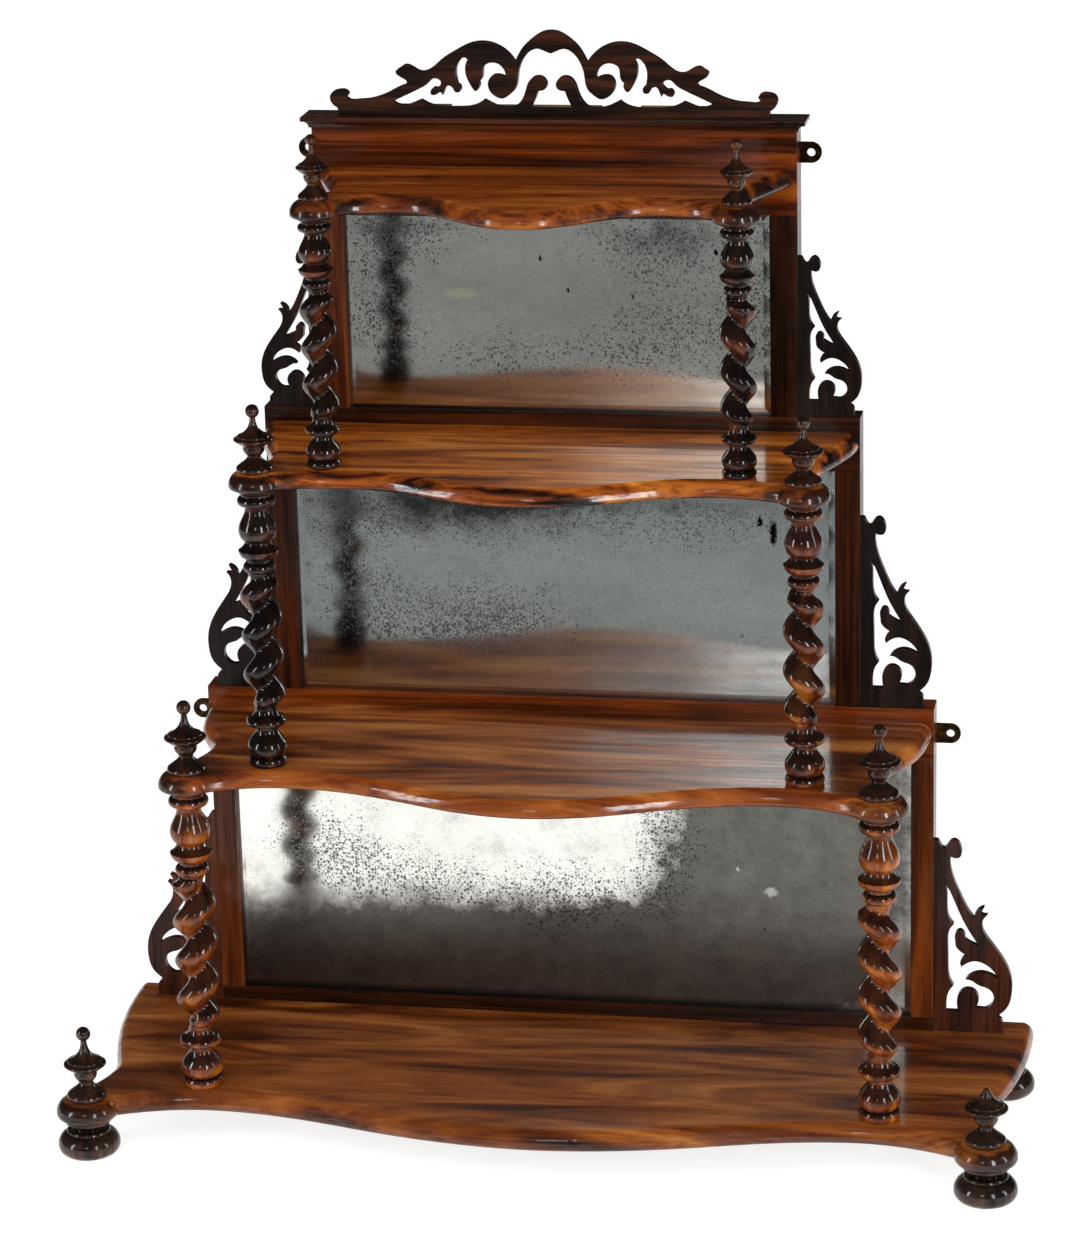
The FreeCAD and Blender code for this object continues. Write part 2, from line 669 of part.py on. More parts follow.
# ---- Back frame ----
baseTongue = baseRailHeight - baseRailFloor
lowerRailBottom = lowerRailTop - railHeight
upperRailBottom = upperRailTop - railHeight
friezeBottom = friezeTop - friezeHeight
lowerStiles = (lowerHalfWidth, lowerStileWidth, tenonLength, rebateWidth)
middleStiles = (middleHalfWidth, middleStileWidth, tenonLength, rebateWidth)
upperStiles = (upperHalfWidth, upperStileWidth, tenonLength, rebateWidth)
baseSeat = (lowerHalfWidth, lowerStileWidth, baseTongue, baseRailRebate)
nodes["base_rail"] = rail(lowerHalfWidth, baseTop, baseRailTop, baseSeat, None)
nodes["lower_rail"] = rail(lowerHalfWidth, lowerRailBottom, lowerRailTop, middleStiles, lowerStiles)
nodes["upper_rail"] = rail(middleHalfWidth, upperRailBottom, upperRailTop, upperStiles, middleStiles)
nodes["frieze_board"] = rail(upperHalfWidth, friezeBottom, friezeTop, None, upperStiles)
nodes["cornice"] = cornice()

# per tier: the seats of the stiles below, then the opening's bottom and top
openings = {
    "lower": (baseSeat, baseRailTop, lowerRailBottom),
    "middle": (middleStiles, lowerRailTop, upperRailBottom),
    "upper": (upperStiles, upperRailTop, friezeBottom),
}
pins = []
for tier, ((halfWidth, width, tongue, rebate), bottom, top) in openings.items():
    upright = stile(halfWidth, width, bottom, top, tongue)
    reach, low, high = glassSize(halfWidth, width, bottom, top, rebate)
    nodes[tier + "_mirror"] = mirrorGlass(reach, low, high)
    nodes[tier + "_backboard"] = backboard(reach, low, high)
    boardBack = nodes[tier + "_backboard"].BoundBox.YMax
    pinY = boardBack + pinRadius + pinClearance
    wall = halfWidth - width + rebateWidth
    tierPins = []
    for share in pinHeightShares:
        pinZ = bottom + (top - bottom) * share
        head = vector(wall + pinBite - pinLength, pinY, pinZ)
        tip = vector(wall + pinBite, pinY, pinZ)
        tierPins.append(rod(pinRadius, head, tip))
        hole = rod(pinRadius + pinClearance, head, tip.add(vector(pinClearance, 0, 0)))
        upright = upright.cut(hole)
    for side in sides:
        nodes[tier + "_stile_" + side] = onSide(upright, side)
        pins += [onSide(pin, side) for pin in tierPins]
nodes["backboard_pins"] = Part.makeCompound(pins)

# ---- Shelves ----
nodes["base_shelf"] = shelfBoard(baseFront, baseSide, baseKnob, baseKnobRadius,
                                 lowerSpread, baseThickness, baseTop, backPlane)
nodes["second_shelf"] = shelfBoard(secondFront, secondSide, secondKnob, secondKnobRadius,
                                   lowerSpread, shelfThickness, secondTop, frameFront)
nodes["third_shelf"] = shelfBoard(thirdFront, thirdSide, thirdKnob, thirdKnobRadius,
                                  middleSpread, shelfThickness, thirdTop, frameFront)
nodes["top_shelf"] = shelfBoard(topFront, topSide, topKnob, topKnobRadius,
                                upperSpread, shelfThickness, topTop, frameFront)

# ---- Columns, finials and feet, with their holes in the shelves ----
knobPlaces = {
    "base": (baseKnob[0] * lowerSpread, frameFront - baseKnob[1]),
    "second": (secondKnob[0] * lowerSpread, frameFront - secondKnob[1]),
    "third": (thirdKnob[0] * middleSpread, frameFront - thirdKnob[1]),
    "top": (topKnob[0] * upperSpread, frameFront - topKnob[1]),
}
shelfPlan = [
    ("base", baseTop, baseThickness, baseFinial),
    ("second", secondTop, shelfThickness, secondFinial),
    ("third", thirdTop, shelfThickness, thirdFinial),
    ("top", topTop, shelfThickness, topFinial),
]
columnPlan = [
    ("lower", "base", "second", baseTop, lowerClear, lowerColumn),
    ("middle", "second", "third", secondTop, middleClear, middleColumn),
    ("upper", "third", "top", thirdTop, upperClear, upperColumn),
]
for name, top, thickness, scales in shelfPlan:
    shelf = name + "_shelf"
    across, y = knobPlaces[name]
    for side, sign in sides.items():
        foot = vector(sign * across, y, top)
        broken = name == "base" and side == "right"
        nodes["%s_finial_%s" % (name, side)] = finial(scales, foot, thickness, broken)
        hole = rod(dowelRadius + dowelClearance, foot.sub(vector(0, 0, thickness)), foot)
        nodes[shelf] = nodes[shelf].cut(hole)

for tier, carrier, above, top, clear, (radiusScale, heightScale, crests) in columnPlan:
    shelf = carrier + "_shelf"
    across, y = knobPlaces[above]
    for side, sign in sides.items():
        leftFoot = vector(-across, y, top)
        turning = column(clear, (radiusScale, heightScale), crests[side], leftFoot)
        nodes["%s_column_%s" % (tier, side)] = mirrored(turning) if side == "right" else turning
        seat = vector(sign * across, y, top)
        holeEnd = seat.sub(vector(0, 0, spigotLength + fitClearance))
        hole = rod(spigotRadius + spigotClearance, holeEnd, seat)
        nodes[shelf] = nodes[shelf].cut(hole)

shelfUnderside = baseTop - baseThickness
footAcross, frontFootY = knobPlaces["base"]
rearFootY = backPlane - footBunRadius - footInset
for side, sign in sides.items():
    front = vector(sign * footAcross, frontFootY, shelfUnderside)
    rear = vector(sign * footAcross, rearFootY, shelfUnderside)
    nodes["front_foot_" + side] = bunFoot(front, False)
    nodes["rear_foot_" + side] = bunFoot(rear, True)
    holeEnd = rear.add(vector(0, 0, spigotLength + fitClearance))
    hole = rod(spigotRadius + spigotClearance, rear, holeEnd)
    nodes["base_shelf"] = nodes["base_shelf"].cut(hole)

# ---- Frets, crest and glue blocks ----
fretPlan = [
    ("lower", lowerFretWidth, lowerFretHeight, lowerHalfWidth, baseTop),
    ("middle", middleFretWidth, middleFretHeight, middleHalfWidth, lowerRailTop),
    ("upper", upperFretWidth, upperFretHeight, upperHalfWidth, upperRailTop),
]
for tier, width, height, innerEdge, bottom in fretPlan:
    bracket = fret(width, height, innerEdge, bottom)
    for side in sides:
        nodes["%s_fret_%s" % (tier, side)] = onSide(bracket, side)

nodes["crest"] = crest()
crestBack = frameFront + crestSetback + crestThickness
nodes["crest_glue_blocks"] = Part.makeCompound([
    box(x0, x1, crestBack, crestBack + glueBlockDepth, corniceTop, corniceTop + glueBlockHeight)
    for x0, x1 in glueBlockSpans])

# ---- Hanging plates and their screws ----
inward = vector(0, -1, 0)
upperHole = vector(upperHalfWidth + upperHoleOutside, backPlane, topTop + upperHoleAboveTopShelf)
lowerHole = vector(lowerHalfWidth + lowerHoleOutside, backPlane, lowerRailTop - lowerHoleBelowRailTop)
platePlan = [
    ("upper", "frieze_board", upperHole, upperPlateLength),
    ("lower", "lower_rail", lowerHole, lowerPlateLength),
]
plateScrews = []
for level, carrier, hole, length in platePlan:
    plate = plateSolid(hole, length)
    eye = rod(plateHoleRadius, hole.sub(vector(0, plateThickness + 1, 0)), hole.add(vector(0, 1, 0)))
    plate = plate.cut(eye)
    cuts = [plateSolid(hole, length, plateClearance)]
    screws = []
    for place in plateScrewPlaces(hole, length):
        screws.append(screw(place, inward, plateScrewLength, screwRadius, screwHeadRadius))
        cuts.append(screw(place, inward, plateScrewLength, screwRadius, screwHeadRadius, screwClearance))
    plate = plate.cut(cuts[1:])
    for side in sides:
        nodes["%s_hanging_plate_%s" % (level, side)] = onSide(plate, side)
        nodes[carrier] = nodes[carrier].cut([onSide(shape, side) for shape in cuts])
        plateScrews += [onSide(shape, side) for shape in screws]
nodes["hanging_plate_screws"] = Part.makeCompound(plateScrews)

# ---- Screws through the frame into the shelves, and up into the stiles ----
shelfScrewPlan = [
    ("lower_rail", "second_shelf", secondScrewSpacing, secondTop),
    ("upper_rail", "third_shelf", thirdScrewSpacing, thirdTop),
    ("frieze_board", "top_shelf", topScrewSpacing, topTop),
]
shelfScrews = []
for carrier, shelf, spacing, top in shelfScrewPlan:
    for index in (-1, 0, 1):
        head = vector(index * spacing, backPlane, top - shelfThickness / 2)
        length = frameDepth + shelfScrewGrip
        shelfScrews.append(screw(head, inward, length, shelfScrewRadius, shelfScrewHeadRadius))
        hole = screw(head, inward, length, shelfScrewRadius, shelfScrewHeadRadius, screwClearance)
        nodes[carrier] = nodes[carrier].cut(hole)
        nodes[shelf] = nodes[shelf].cut(hole)

frameScrewLength = baseThickness + baseRailHeight + shelfScrewGrip
tenonBack = frameFront + tenonSetback + tenonThickness
frameScrewY = (tenonBack + backPlane) / 2
for side, sign in sides.items():
    head = vector(sign * tenonPlace(lowerHalfWidth, lowerStileWidth), frameScrewY, shelfUnderside)
    upward = vector(0, 0, 1)
    shelfScrews.append(screw(head, upward, frameScrewLength, shelfScrewRadius, shelfScrewHeadRadius))
    hole = screw(head, upward, frameScrewLength, shelfScrewRadius, shelfScrewHeadRadius, screwClearance)
    for name in ("base_shelf", "base_rail", "lower_stile_" + side):
        nodes[name] = nodes[name].cut(hole)
nodes["shelf_screws"] = Part.makeCompound(shelfScrews)

# ---- Write each piece ----
os.makedirs("parts", exist_ok=True)
for name, shape in nodes.items():
    shape.exportStep("parts/%s.step" % name)
print(len(nodes), "pieces written")
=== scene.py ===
import math

import bpy
from mathutils import Matrix, Vector


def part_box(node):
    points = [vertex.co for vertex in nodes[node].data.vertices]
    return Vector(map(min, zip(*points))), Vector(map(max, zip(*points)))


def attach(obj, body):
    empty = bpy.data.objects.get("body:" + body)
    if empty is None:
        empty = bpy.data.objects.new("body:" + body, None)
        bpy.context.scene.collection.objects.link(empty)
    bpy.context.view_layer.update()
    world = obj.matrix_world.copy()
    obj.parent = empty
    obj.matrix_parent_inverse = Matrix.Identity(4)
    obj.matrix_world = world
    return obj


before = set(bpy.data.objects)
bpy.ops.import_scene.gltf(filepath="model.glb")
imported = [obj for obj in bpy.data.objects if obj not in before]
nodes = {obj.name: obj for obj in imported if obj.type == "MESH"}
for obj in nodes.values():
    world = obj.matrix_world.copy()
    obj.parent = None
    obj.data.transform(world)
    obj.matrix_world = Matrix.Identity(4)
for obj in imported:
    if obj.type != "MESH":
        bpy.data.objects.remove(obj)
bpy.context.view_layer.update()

print("frame loaded:", len(nodes), "pieces")

mm = 0.001


def colour(hexCode):
    # sRGB hex to the linear colour that Blender's sockets take
    parts = [int(hexCode[i:i + 2], 16) / 255 for i in (1, 3, 5)]
    linear = [((c + 0.055) / 1.055) ** 2.4 if c > 0.04045 else c / 12.92 for c in parts]
    return (*linear, 1.0)


def addNode(tree, kind, inputs=None, stops=None, **settings):
    # inputs: socket to a plain value, a hex colour or the output that feeds it; stops are for a ramp
    node = tree.nodes.new("ShaderNode" + kind)
    for name, value in settings.items():
        setattr(node, name, value)
    for socket, value in (inputs or {}).items():
        if isinstance(value, bpy.types.NodeSocket):
            tree.links.new(value, node.inputs[socket])
        else:
            node.inputs[socket].default_value = colour(value) if isinstance(value, str) else value
    if stops:
        band = node.color_ramp
        band.elements[0].position, band.elements[0].color = stops[0][0], colour(stops[0][1])
        band.elements[1].position, band.elements[1].color = stops[-1][0], colour(stops[-1][1])
        for place, code in stops[1:-1]:
            band.elements.new(place).color = colour(code)
    return node.outputs


def newMaterial(name):
    material = bpy.data.materials.new(name)
    material.use_nodes = True
    material.node_tree.nodes.clear()
    return material, material.node_tree


def finishMaterial(tree, inputs):
    shader = addNode(tree, "BsdfPrincipled", inputs)
    addNode(tree, "OutputMaterial", {"Surface": shader["BSDF"]})


def stretched(tree, along, acrossMm, alongMm, shift=(0, 0, 0)):
    # object coordinates squeezed so that one noise unit is acrossMm wide and alongMm long
    scale = [1 / (acrossMm * mm)] * 3
    scale["xyz".index(along)] = 1 / (alongMm * mm)
    place = addNode(tree, "TexCoord")["Object"]
    return addNode(tree, "Mapping", {"Vector": place, "Scale": scale, "Location": shift})["Vector"]


# Shared by all the rosewood, in mm: pairs are a pattern's size across and along the grain, and a shift
# moves a pattern by its own units. The pores are 0.2 mm wide in the wood and are drawn wider to show.
rosewood = {
    "blotch": (14.0, 24.0), "pore": (0.8, 7.0), "rub": (5.0, 9.0), "smear": (30.0, 90.0),
    "fibre": (1.4, 50.0), "wave": (9.0, 22.0), "fibreHeight": 0.2, "waveHeight": 0.6,
    "streakStretch": 60, "streakShift": (3.1, 5.7, 1.3), "smearShift": (7.0, 2.0, 4.0),
    "cornerColour": "#1c0b06", "cornerRagged": 250.0, "cornerFade": 25.0,
    # the grime colour is painted shade in hollows as well as old wax and dirt
    "grimeAndShadeColour": "#0a0503", "ior": 1.5,
}


def layFigure(tree, look, facing, wander):
    # the sides that face up take the top ramp: painted light on the boards, which makes their upper faces
    # lighter, and painted shade on the turnings, which makes their upper sides near-black
    figure = addNode(tree, "TexNoise", {
        "Vector": stretched(tree, look["grain"], look["figureWidth"], look["figureLength"], look["shift"]),
        "Scale": 1.0, "Detail": 3.0, "Roughness": 0.55, "Distortion": look["figureWave"]})["Fac"]
    wood = addNode(tree, "ValToRGB", {"Fac": figure}, stops=look["figure"])["Color"]
    paintedTopTone = addNode(tree, "ValToRGB", {"Fac": figure}, stops=look["top"])["Color"]
    upward = addNode(tree, "SeparateXYZ", {"Vector": facing})["Z"]
    lean = addNode(tree, "Math", {0: upward, 1: wander}, operation="ADD")["Value"]
    paintedTopShare = addNode(tree, "MapRange", {
        "Value": lean, "From Min": look["topFrom"], "From Max": look["topTo"],
        "To Min": 0.0, "To Max": look["topShare"]})["Result"]
    wood = addNode(tree, "Mix", {"Factor": paintedTopShare, "A": wood, "B": paintedTopTone}, data_type="RGBA")["Result"]
    return wood, paintedTopShare


def darkenCorners(tree, look, wood, paintedTopShare, wander):
    # boards darken towards their turned front corners, and more on the edge than on top
    place = addNode(tree, "SeparateXYZ", {"Vector": addNode(tree, "TexCoord")["Object"]})
    across = addNode(tree, "Math", {0: place["X"]}, operation="ABSOLUTE")["Value"]
    ragged = addNode(tree, "Math", {0: wander, 1: rosewood["cornerRagged"] * mm, 2: across},
                     operation="MULTIPLY_ADD")["Value"]
    atEnd = addNode(tree, "MapRange", {
        "Value": ragged, "From Min": look["cornerFrom"] * mm, "From Max": look["cornerTo"] * mm,
        "To Min": 0.0, "To Max": look["cornerDark"]})["Result"]
    onEdge = addNode(tree, "MapRange", {
        "Value": paintedTopShare, "From Min": 0.0, "From Max": 1.0,
        "To Min": 1.0, "To Max": look["cornerTop"]})["Result"]
    fadedOut = look["cornerBack"] + rosewood["cornerFade"]
    inFront = addNode(tree, "MapRange", {
        "Value": place["Y"], "From Min": look["cornerBack"] * mm, "From Max": fadedOut * mm,
        "To Min": 1.0, "To Max": 0.0})["Result"]
    corner = addNode(tree, "Math", {0: atEnd, 1: onEdge}, operation="MULTIPLY")["Value"]
    corner = addNode(tree, "Math", {0: corner, 1: inFront}, operation="MULTIPLY")["Value"]
    wood = addNode(tree, "Mix", {"Factor": corner, "A": wood, "B": rosewood["cornerColour"]},
                   data_type="RGBA")["Result"]
    return wood, corner


def drawLines(tree, look, wood):
    # dark lines that come and go along the grain, and the pores
    streakLength = look["streakWidth"] * rosewood["streakStretch"]
    streak = addNode(tree, "TexNoise", {
        "Vector": stretched(tree, look["grain"], look["streakWidth"], streakLength, rosewood["streakShift"]),
        "Scale": 1.0, "Detail": 4.0, "Roughness": 0.6, "Distortion": 0.2})["Fac"]
    streakShade = addNode(tree, "MapRange", {
        "Value": streak, "From Min": 0.36, "From Max": 0.50,
        "To Min": 1.0 - look["streakDepth"], "To Max": 1.0})["Result"]
    pore = addNode(tree, "TexNoise", {
        "Vector": stretched(tree, look["grain"], *rosewood["pore"]),
        "Scale": 1.0, "Detail": 2.0, "Roughness": 0.7})["Fac"]
    poreShade = addNode(tree, "MapRange", {
        "Value": pore, "From Min": 0.30, "From Max": 0.42,
        "To Min": look["poreShade"], "To Max": 1.0})["Result"]
    lines = addNode(tree, "Math", {0: streakShade, 1: poreShade}, operation="MULTIPLY")["Value"]
    wood = addNode(tree, "Mix", {"Factor": 1.0, "A": wood, "B": lines},
                   data_type="RGBA", blend_type="MULTIPLY")["Result"]
    return wood, streak, poreShade


def wearEdges(tree, look, wood, facing, rounded, corner):
    # edges rounded by handling: the polish is thin and the wood lighter, but less so in the dark corners
    turnAway = addNode(tree, "VectorMath", {0: rounded, 1: facing}, operation="DOT_PRODUCT")["Value"]
    atEdge = addNode(tree, "MapRange", {"Value": turnAway, "From Min": 0.985, "From Max": 0.86})["Result"]
    rub = addNode(tree, "TexNoise", {
        "Vector": stretched(tree, look["grain"], *rosewood["rub"]),
        "Scale": 1.0, "Detail": 4.0, "Roughness": 0.65})["Fac"]
    rubbed = addNode(tree, "MapRange", {
        "Value": rub, "From Min": 0.40, "From Max": 0.62,
        "To Min": 0.1, "To Max": look["edgeWear"]})["Result"]
    spared = addNode(tree, "MapRange", {
        "Value": corner, "From Min": 0.0, "From Max": 0.8, "To Min": 1.0, "To Max": 0.2})["Result"]
    wear = addNode(tree, "Math", {0: atEdge, 1: rubbed}, operation="MULTIPLY")["Value"]
    wear = addNode(tree, "Math", {0: wear, 1: spared}, operation="MULTIPLY")["Value"]
    return addNode(tree, "Mix", {"Factor": wear, "A": wood, "B": look["worn"]}, data_type="RGBA")["Result"]


def packGrimeAndShade(tree, look, wood):
    # painted shade in the quirks and grooves, darker where ambient occlusion finds them closed in, standing
    # also for old wax and dirt there
    openness = addNode(tree, "AmbientOcclusion", {"Distance": look["grimeAndShadeReach"] * mm},
                       samples=4, only_local=True)["AO"]
    grimeAndShadeBelow = look["openAbove"] - look["grimeAndShadeSpan"]
    grimeAndShade = addNode(tree, "MapRange", {
        "Value": openness, "From Min": look["openAbove"], "From Max": grimeAndShadeBelow,
        "To Min": 0.0, "To Max": look["grimeAndShade"]})["Result"]
    return addNode(tree, "Mix", {"Factor": grimeAndShade, "A": wood, "B": rosewood["grimeAndShadeColour"]},
                   data_type="RGBA")["Result"]


def layShellac(tree, look, streak, poreShade, rounded):
    # the fibres and pores show through the film, which is smeared by rubbing and has brush waves and knocks
    smear = addNode(tree, "TexNoise", {
        "Vector": stretched(tree, look["grain"], *rosewood["smear"], rosewood["smearShift"]),
        "Scale": 1.0, "Detail": 4.0})["Fac"]
    smeared = [addNode(tree, "MapRange", {
        "Value": smear, "From Min": 0.35, "From Max": 0.7,
        "To Min": smooth, "To Max": dull})["Result"]
        for smooth, dull in (look["roughness"], look["filmRoughness"])]
    fibre = addNode(tree, "TexNoise", {
        "Vector": stretched(tree, look["grain"], *rosewood["fibre"]),
        "Scale": 1.0, "Detail": 3.0, "Roughness": 0.6})["Fac"]
    grain = addNode(tree, "Math", {0: fibre, 1: poreShade}, operation="ADD")["Value"]
    grained = addNode(tree, "Bump", {
        "Strength": look["bump"], "Distance": rosewood["fibreHeight"] * mm, "Height": grain,
        "Normal": rounded})["Normal"]
    wave = addNode(tree, "TexNoise", {
        "Vector": stretched(tree, look["grain"], *rosewood["wave"]),
        "Scale": 1.0, "Detail": 5.0, "Roughness": 0.55})["Fac"]
    waved = addNode(tree, "Bump", {
        "Strength": look["wave"], "Distance": rosewood["waveHeight"] * mm, "Height": wave,
        "Normal": rounded})["Normal"]
    film = addNode(tree, "MapRange", {
        "Value": streak, "From Min": 0.35, "From Max": 0.6,
        "To Min": look["coat"] * look["thinCoat"], "To Max": look["coat"]})["Result"]
    return {"Roughness": smeared[0], "Normal": grained, "Specular IOR Level": look["specular"],
            "Coat Weight": film, "Coat Roughness": smeared[1], "Coat Normal": waved}


# Rosewood, planed or turned, darkened by age and French polished: deep red-brown to orange with
# near-black figure, under a thin shellac film that gives clear, slightly wavy reflections.
def polishedRosewood(name, look):
    material, tree = newMaterial(name)
    facing = addNode(tree, "NewGeometry")["Normal"]
    rounded = addNode(tree, "Bevel", {"Radius": look["edgeRadius"] * mm}, samples=4)["Normal"]
    blotch = addNode(tree, "TexNoise", {
        "Vector": stretched(tree, look["grain"], *rosewood["blotch"]), "Scale": 1.0, "Detail": 3.0})["Fac"]
    wander = addNode(tree, "MapRange", {
        "Value": blotch, "From Min": 0.3, "From Max": 0.7, "To Min": -0.12, "To Max": 0.12})["Result"]
    wood, paintedTopShare = layFigure(tree, look, facing, wander)
    wood, corner = darkenCorners(tree, look, wood, paintedTopShare, wander)
    wood, streak, poreShade = drawLines(tree, look, wood)
    wood = wearEdges(tree, look, wood, facing, rounded, corner)
    wood = packGrimeAndShade(tree, look, wood)
    film = layShellac(tree, look, streak, poreShade, rounded)
    finishMaterial(tree, {"Base Color": wood, "IOR": rosewood["ior"], **film})
    return material


# Sizes and places in mm. The figure and top ramps run from dark to light figure; the top ramp is painted
# light on the upper faces of the boards, brightened board by board, and painted shade on the upper sides of
# the turnings. A board darkens from cornerFrom to cornerTo, out from its middle, where it is in front of
# cornerBack. thinCoat is the share of the coat that is left over the dark lines.
thirdLook = {
    "grain": "x", "figureWidth": 26.0, "figureLength": 280.0, "figureWave": 0.9, "shift": (0, 0, 0),
    "figure": [(0.34, "#0c0402"), (0.41, "#2a0f05"), (0.47, "#6a2c09"), (0.57, "#9e4e10"),
               (0.71, "#c07426")],
    "top": [(0.30, "#4e1e06"), (0.42, "#944610"), (0.52, "#c46a1c"), (0.64, "#e69038"),
            (0.76, "#f6b468")],
    "topFrom": 0.82, "topTo": 0.98, "topShare": 1.0,
    "cornerFrom": 165.0, "cornerTo": 200.0, "cornerBack": -14.0, "cornerDark": 0.93, "cornerTop": 0.35,
    "streakWidth": 2.4, "streakDepth": 0.55, "poreShade": 0.7,
    "edgeRadius": 0.8, "edgeWear": 0.4, "worn": "#a8642c",
    "grimeAndShade": 0.8, "grimeAndShadeReach": 5.0, "grimeAndShadeSpan": 0.45, "openAbove": 0.75,
    "roughness": (0.30, 0.46), "specular": 0.15, "bump": 0.10,
    "coat": 0.85, "thinCoat": 0.3, "filmRoughness": (0.06, 0.14), "wave": 0.10,
}
secondLook = dict(thirdLook, figureWidth=44.0, figureLength=260.0, figureWave=1.6, shift=(0.6, 0, 2.0),
                  streakDepth=0.28, cornerFrom=240.0, cornerTo=275.0, cornerBack=-38.0,
                  figure=[(0.30, "#2e1106"), (0.43, "#6c2d0b"), (0.56, "#964c16"), (0.72, "#b97030")],
                  top=[(0.34, "#401b08"), (0.46, "#763a14"), (0.56, "#a05824"), (0.68, "#bc7838")])
baseLook = dict(secondLook, shift=(0.9, 0, 4.0), cornerFrom=315.0, cornerTo=350.0, cornerBack=-75.0,
                cornerTop=0.06,
                figure=[(0.32, "#2a1006"), (0.44, "#5e2a0c"), (0.58, "#8c4a18"), (0.74, "#b4702e")],
                top=[(0.32, "#3c1a08"), (0.43, "#683112"), (0.55, "#904f1f"), (0.68, "#ae6c32")])
topLook = dict(thirdLook, shift=(1.7, 0, 6.0), cornerFrom=118.0, cornerTo=150.0, cornerBack=2.0,
               figure=[(0.34, "#0c0402"), (0.43, "#2c1005"), (0.52, "#602808"), (0.63, "#8e440d"),
                       (0.76, "#b0661e")],
               top=[(0.30, "#2c0e03"), (0.42, "#6a2b08"), (0.52, "#944710"), (0.64, "#b4641e"),
                    (0.76, "#cc8038")])
friezeLook = dict(thirdLook, figureWidth=15.0, shift=(0.35, 0, 0.2), topShare=0.0, cornerDark=0.0,
                  streakDepth=0.5, coat=0.45, specular=0.06,
                  figure=[(0.32, "#1c0802"), (0.46, "#441904"), (0.56, "#652a07"), (0.70, "#8f450e")])
darkRailLook = dict(friezeLook, figure=[(0.34, "#120602"), (0.50, "#2a1206"), (0.66, "#451d09")],
                    worn="#6b3a1c")
warmRailLook = dict(friezeLook, figure=[(0.34, "#2e1003"), (0.50, "#5e2707"), (0.66, "#7e390c")])
darkStileLook = dict(darkRailLook, grain="z", shift=(0, 0, 0.4))
warmStileLook = dict(warmRailLook, grain="z",
                     figure=[(0.34, "#280f05"), (0.50, "#54250c"), (0.66, "#783c14")])
# the cornice's light, strong worn edges are wear and also a painted highlight along its top edge
corniceLook = dict(darkRailLook, figure=[(0.34, "#1a0905"), (0.50, "#38180b"), (0.66, "#592a14")],
                   worn="#94603c", edgeWear=0.9, coat=0.8)
# on the turnings the near-black top ramp is painted shade on their upper sides, and the strong darkening in
# their grooves is painted shade as well as old wax and dirt
turnedLook = dict(friezeLook, grain="z", figureWidth=16.0, figureLength=46.0, figureWave=0.8,
                  figure=[(0.32, "#0e0503"), (0.48, "#260e07"), (0.58, "#481d0a"), (0.72, "#7a3813")],
                  top=[(0.34, "#080403"), (0.70, "#1a0d08")], topFrom=-0.20, topTo=0.35, topShare=0.92,
                  streakWidth=6.0, streakDepth=0.12, poreShade=0.85, bump=0.02, wave=0.05,
                  edgeRadius=0.5, edgeWear=0.8, worn="#7a341a", grimeAndShade=0.97, grimeAndShadeReach=10.0,
                  openAbove=0.93, coat=1.0, roughness=(0.40, 0.55), filmRoughness=(0.05, 0.12))
warmTurnedLook = dict(turnedLook, topFrom=-0.15, topTo=0.5, topShare=0.93,
                      figure=[(0.32, "#421705"), (0.46, "#78340b"), (0.58, "#a25011"), (0.72, "#c87424")],
                      top=[(0.34, "#0c0503"), (0.70, "#221008")])
midTurnedLook = dict(warmTurnedLook, topFrom=-0.25, topTo=0.42,
                     figure=[(0.32, "#2c0f05"), (0.46, "#582408"), (0.58, "#88420e"), (0.72, "#b4671e")])
deepTurnedLook = dict(turnedLook, figure=[(0.34, "#1e0b06"), (0.50, "#40200f"), (0.68, "#6c3a1c")],
                      top=[(0.34, "#100805"), (0.70, "#2a160d")], filmRoughness=(0.08, 0.18))
footLook = dict(deepTurnedLook, figure=[(0.34, "#1e100b"), (0.50, "#3c2216"), (0.68, "#633c25")],
                top=[(0.34, "#140b08"), (0.70, "#302016")])
fretLook = dict(friezeLook, grain="z", figureWidth=14.0, figureLength=160.0,
                figure=[(0.34, "#080402"), (0.50, "#140a06"), (0.68, "#28130b")], worn="#6c3e1e",
                edgeWear=0.5, coat=0.35, specular=0.12, filmRoughness=(0.14, 0.28))
lowFretLook = dict(fretLook, figure=[(0.34, "#1a0b06"), (0.50, "#36180c"), (0.68, "#562813")])
crestLook = dict(fretLook, grain="x", figure=[(0.34, "#0d0502"), (0.50, "#200e06"), (0.66, "#42200c")])

rosewoodFinishes = {
    "baseShelf": ("frenchPolishedRosewoodBaseBoard", baseLook),
    "secondShelf": ("frenchPolishedRosewoodSecondBoard", secondLook),
    "thirdShelf": ("frenchPolishedRosewoodThirdBoard", thirdLook),
    "topShelf": ("frenchPolishedRosewoodTopBoard", topLook),
    "frieze": ("frenchPolishedRosewoodFrieze", friezeLook),
    "darkRail": ("frenchPolishedDarkRosewoodRail", darkRailLook),
    "warmRail": ("frenchPolishedRosewoodRail", warmRailLook),
    "darkStile": ("frenchPolishedDarkRosewoodStile", darkStileLook),
    "warmStile": ("frenchPolishedRosewoodStile", warmStileLook),
    "cornice": ("frenchPolishedRosewoodCornice", corniceLook),
    "turned": ("turnedPolishedRosewood", turnedLook),
    "warmTurned": ("turnedPolishedRosewoodOrange", warmTurnedLook),
    "midTurned": ("turnedPolishedRosewoodBrown", midTurnedLook),
    "deepTurned": ("turnedPolishedRosewoodDark", deepTurnedLook),
    "foot": ("turnedBlackenedRosewood", footLook),
    "fret": ("fretsawnDarkRosewood", fretLook),
    "lowFret": ("fretsawnRosewood", lowFretLook),
    "crest": ("fretsawnDarkRosewoodCrest", crestLook),
}
woods = {wood: polishedRosewood(name, look) for wood, (name, look) in rosewoodFinishes.items()}
print("rosewood finishes made")


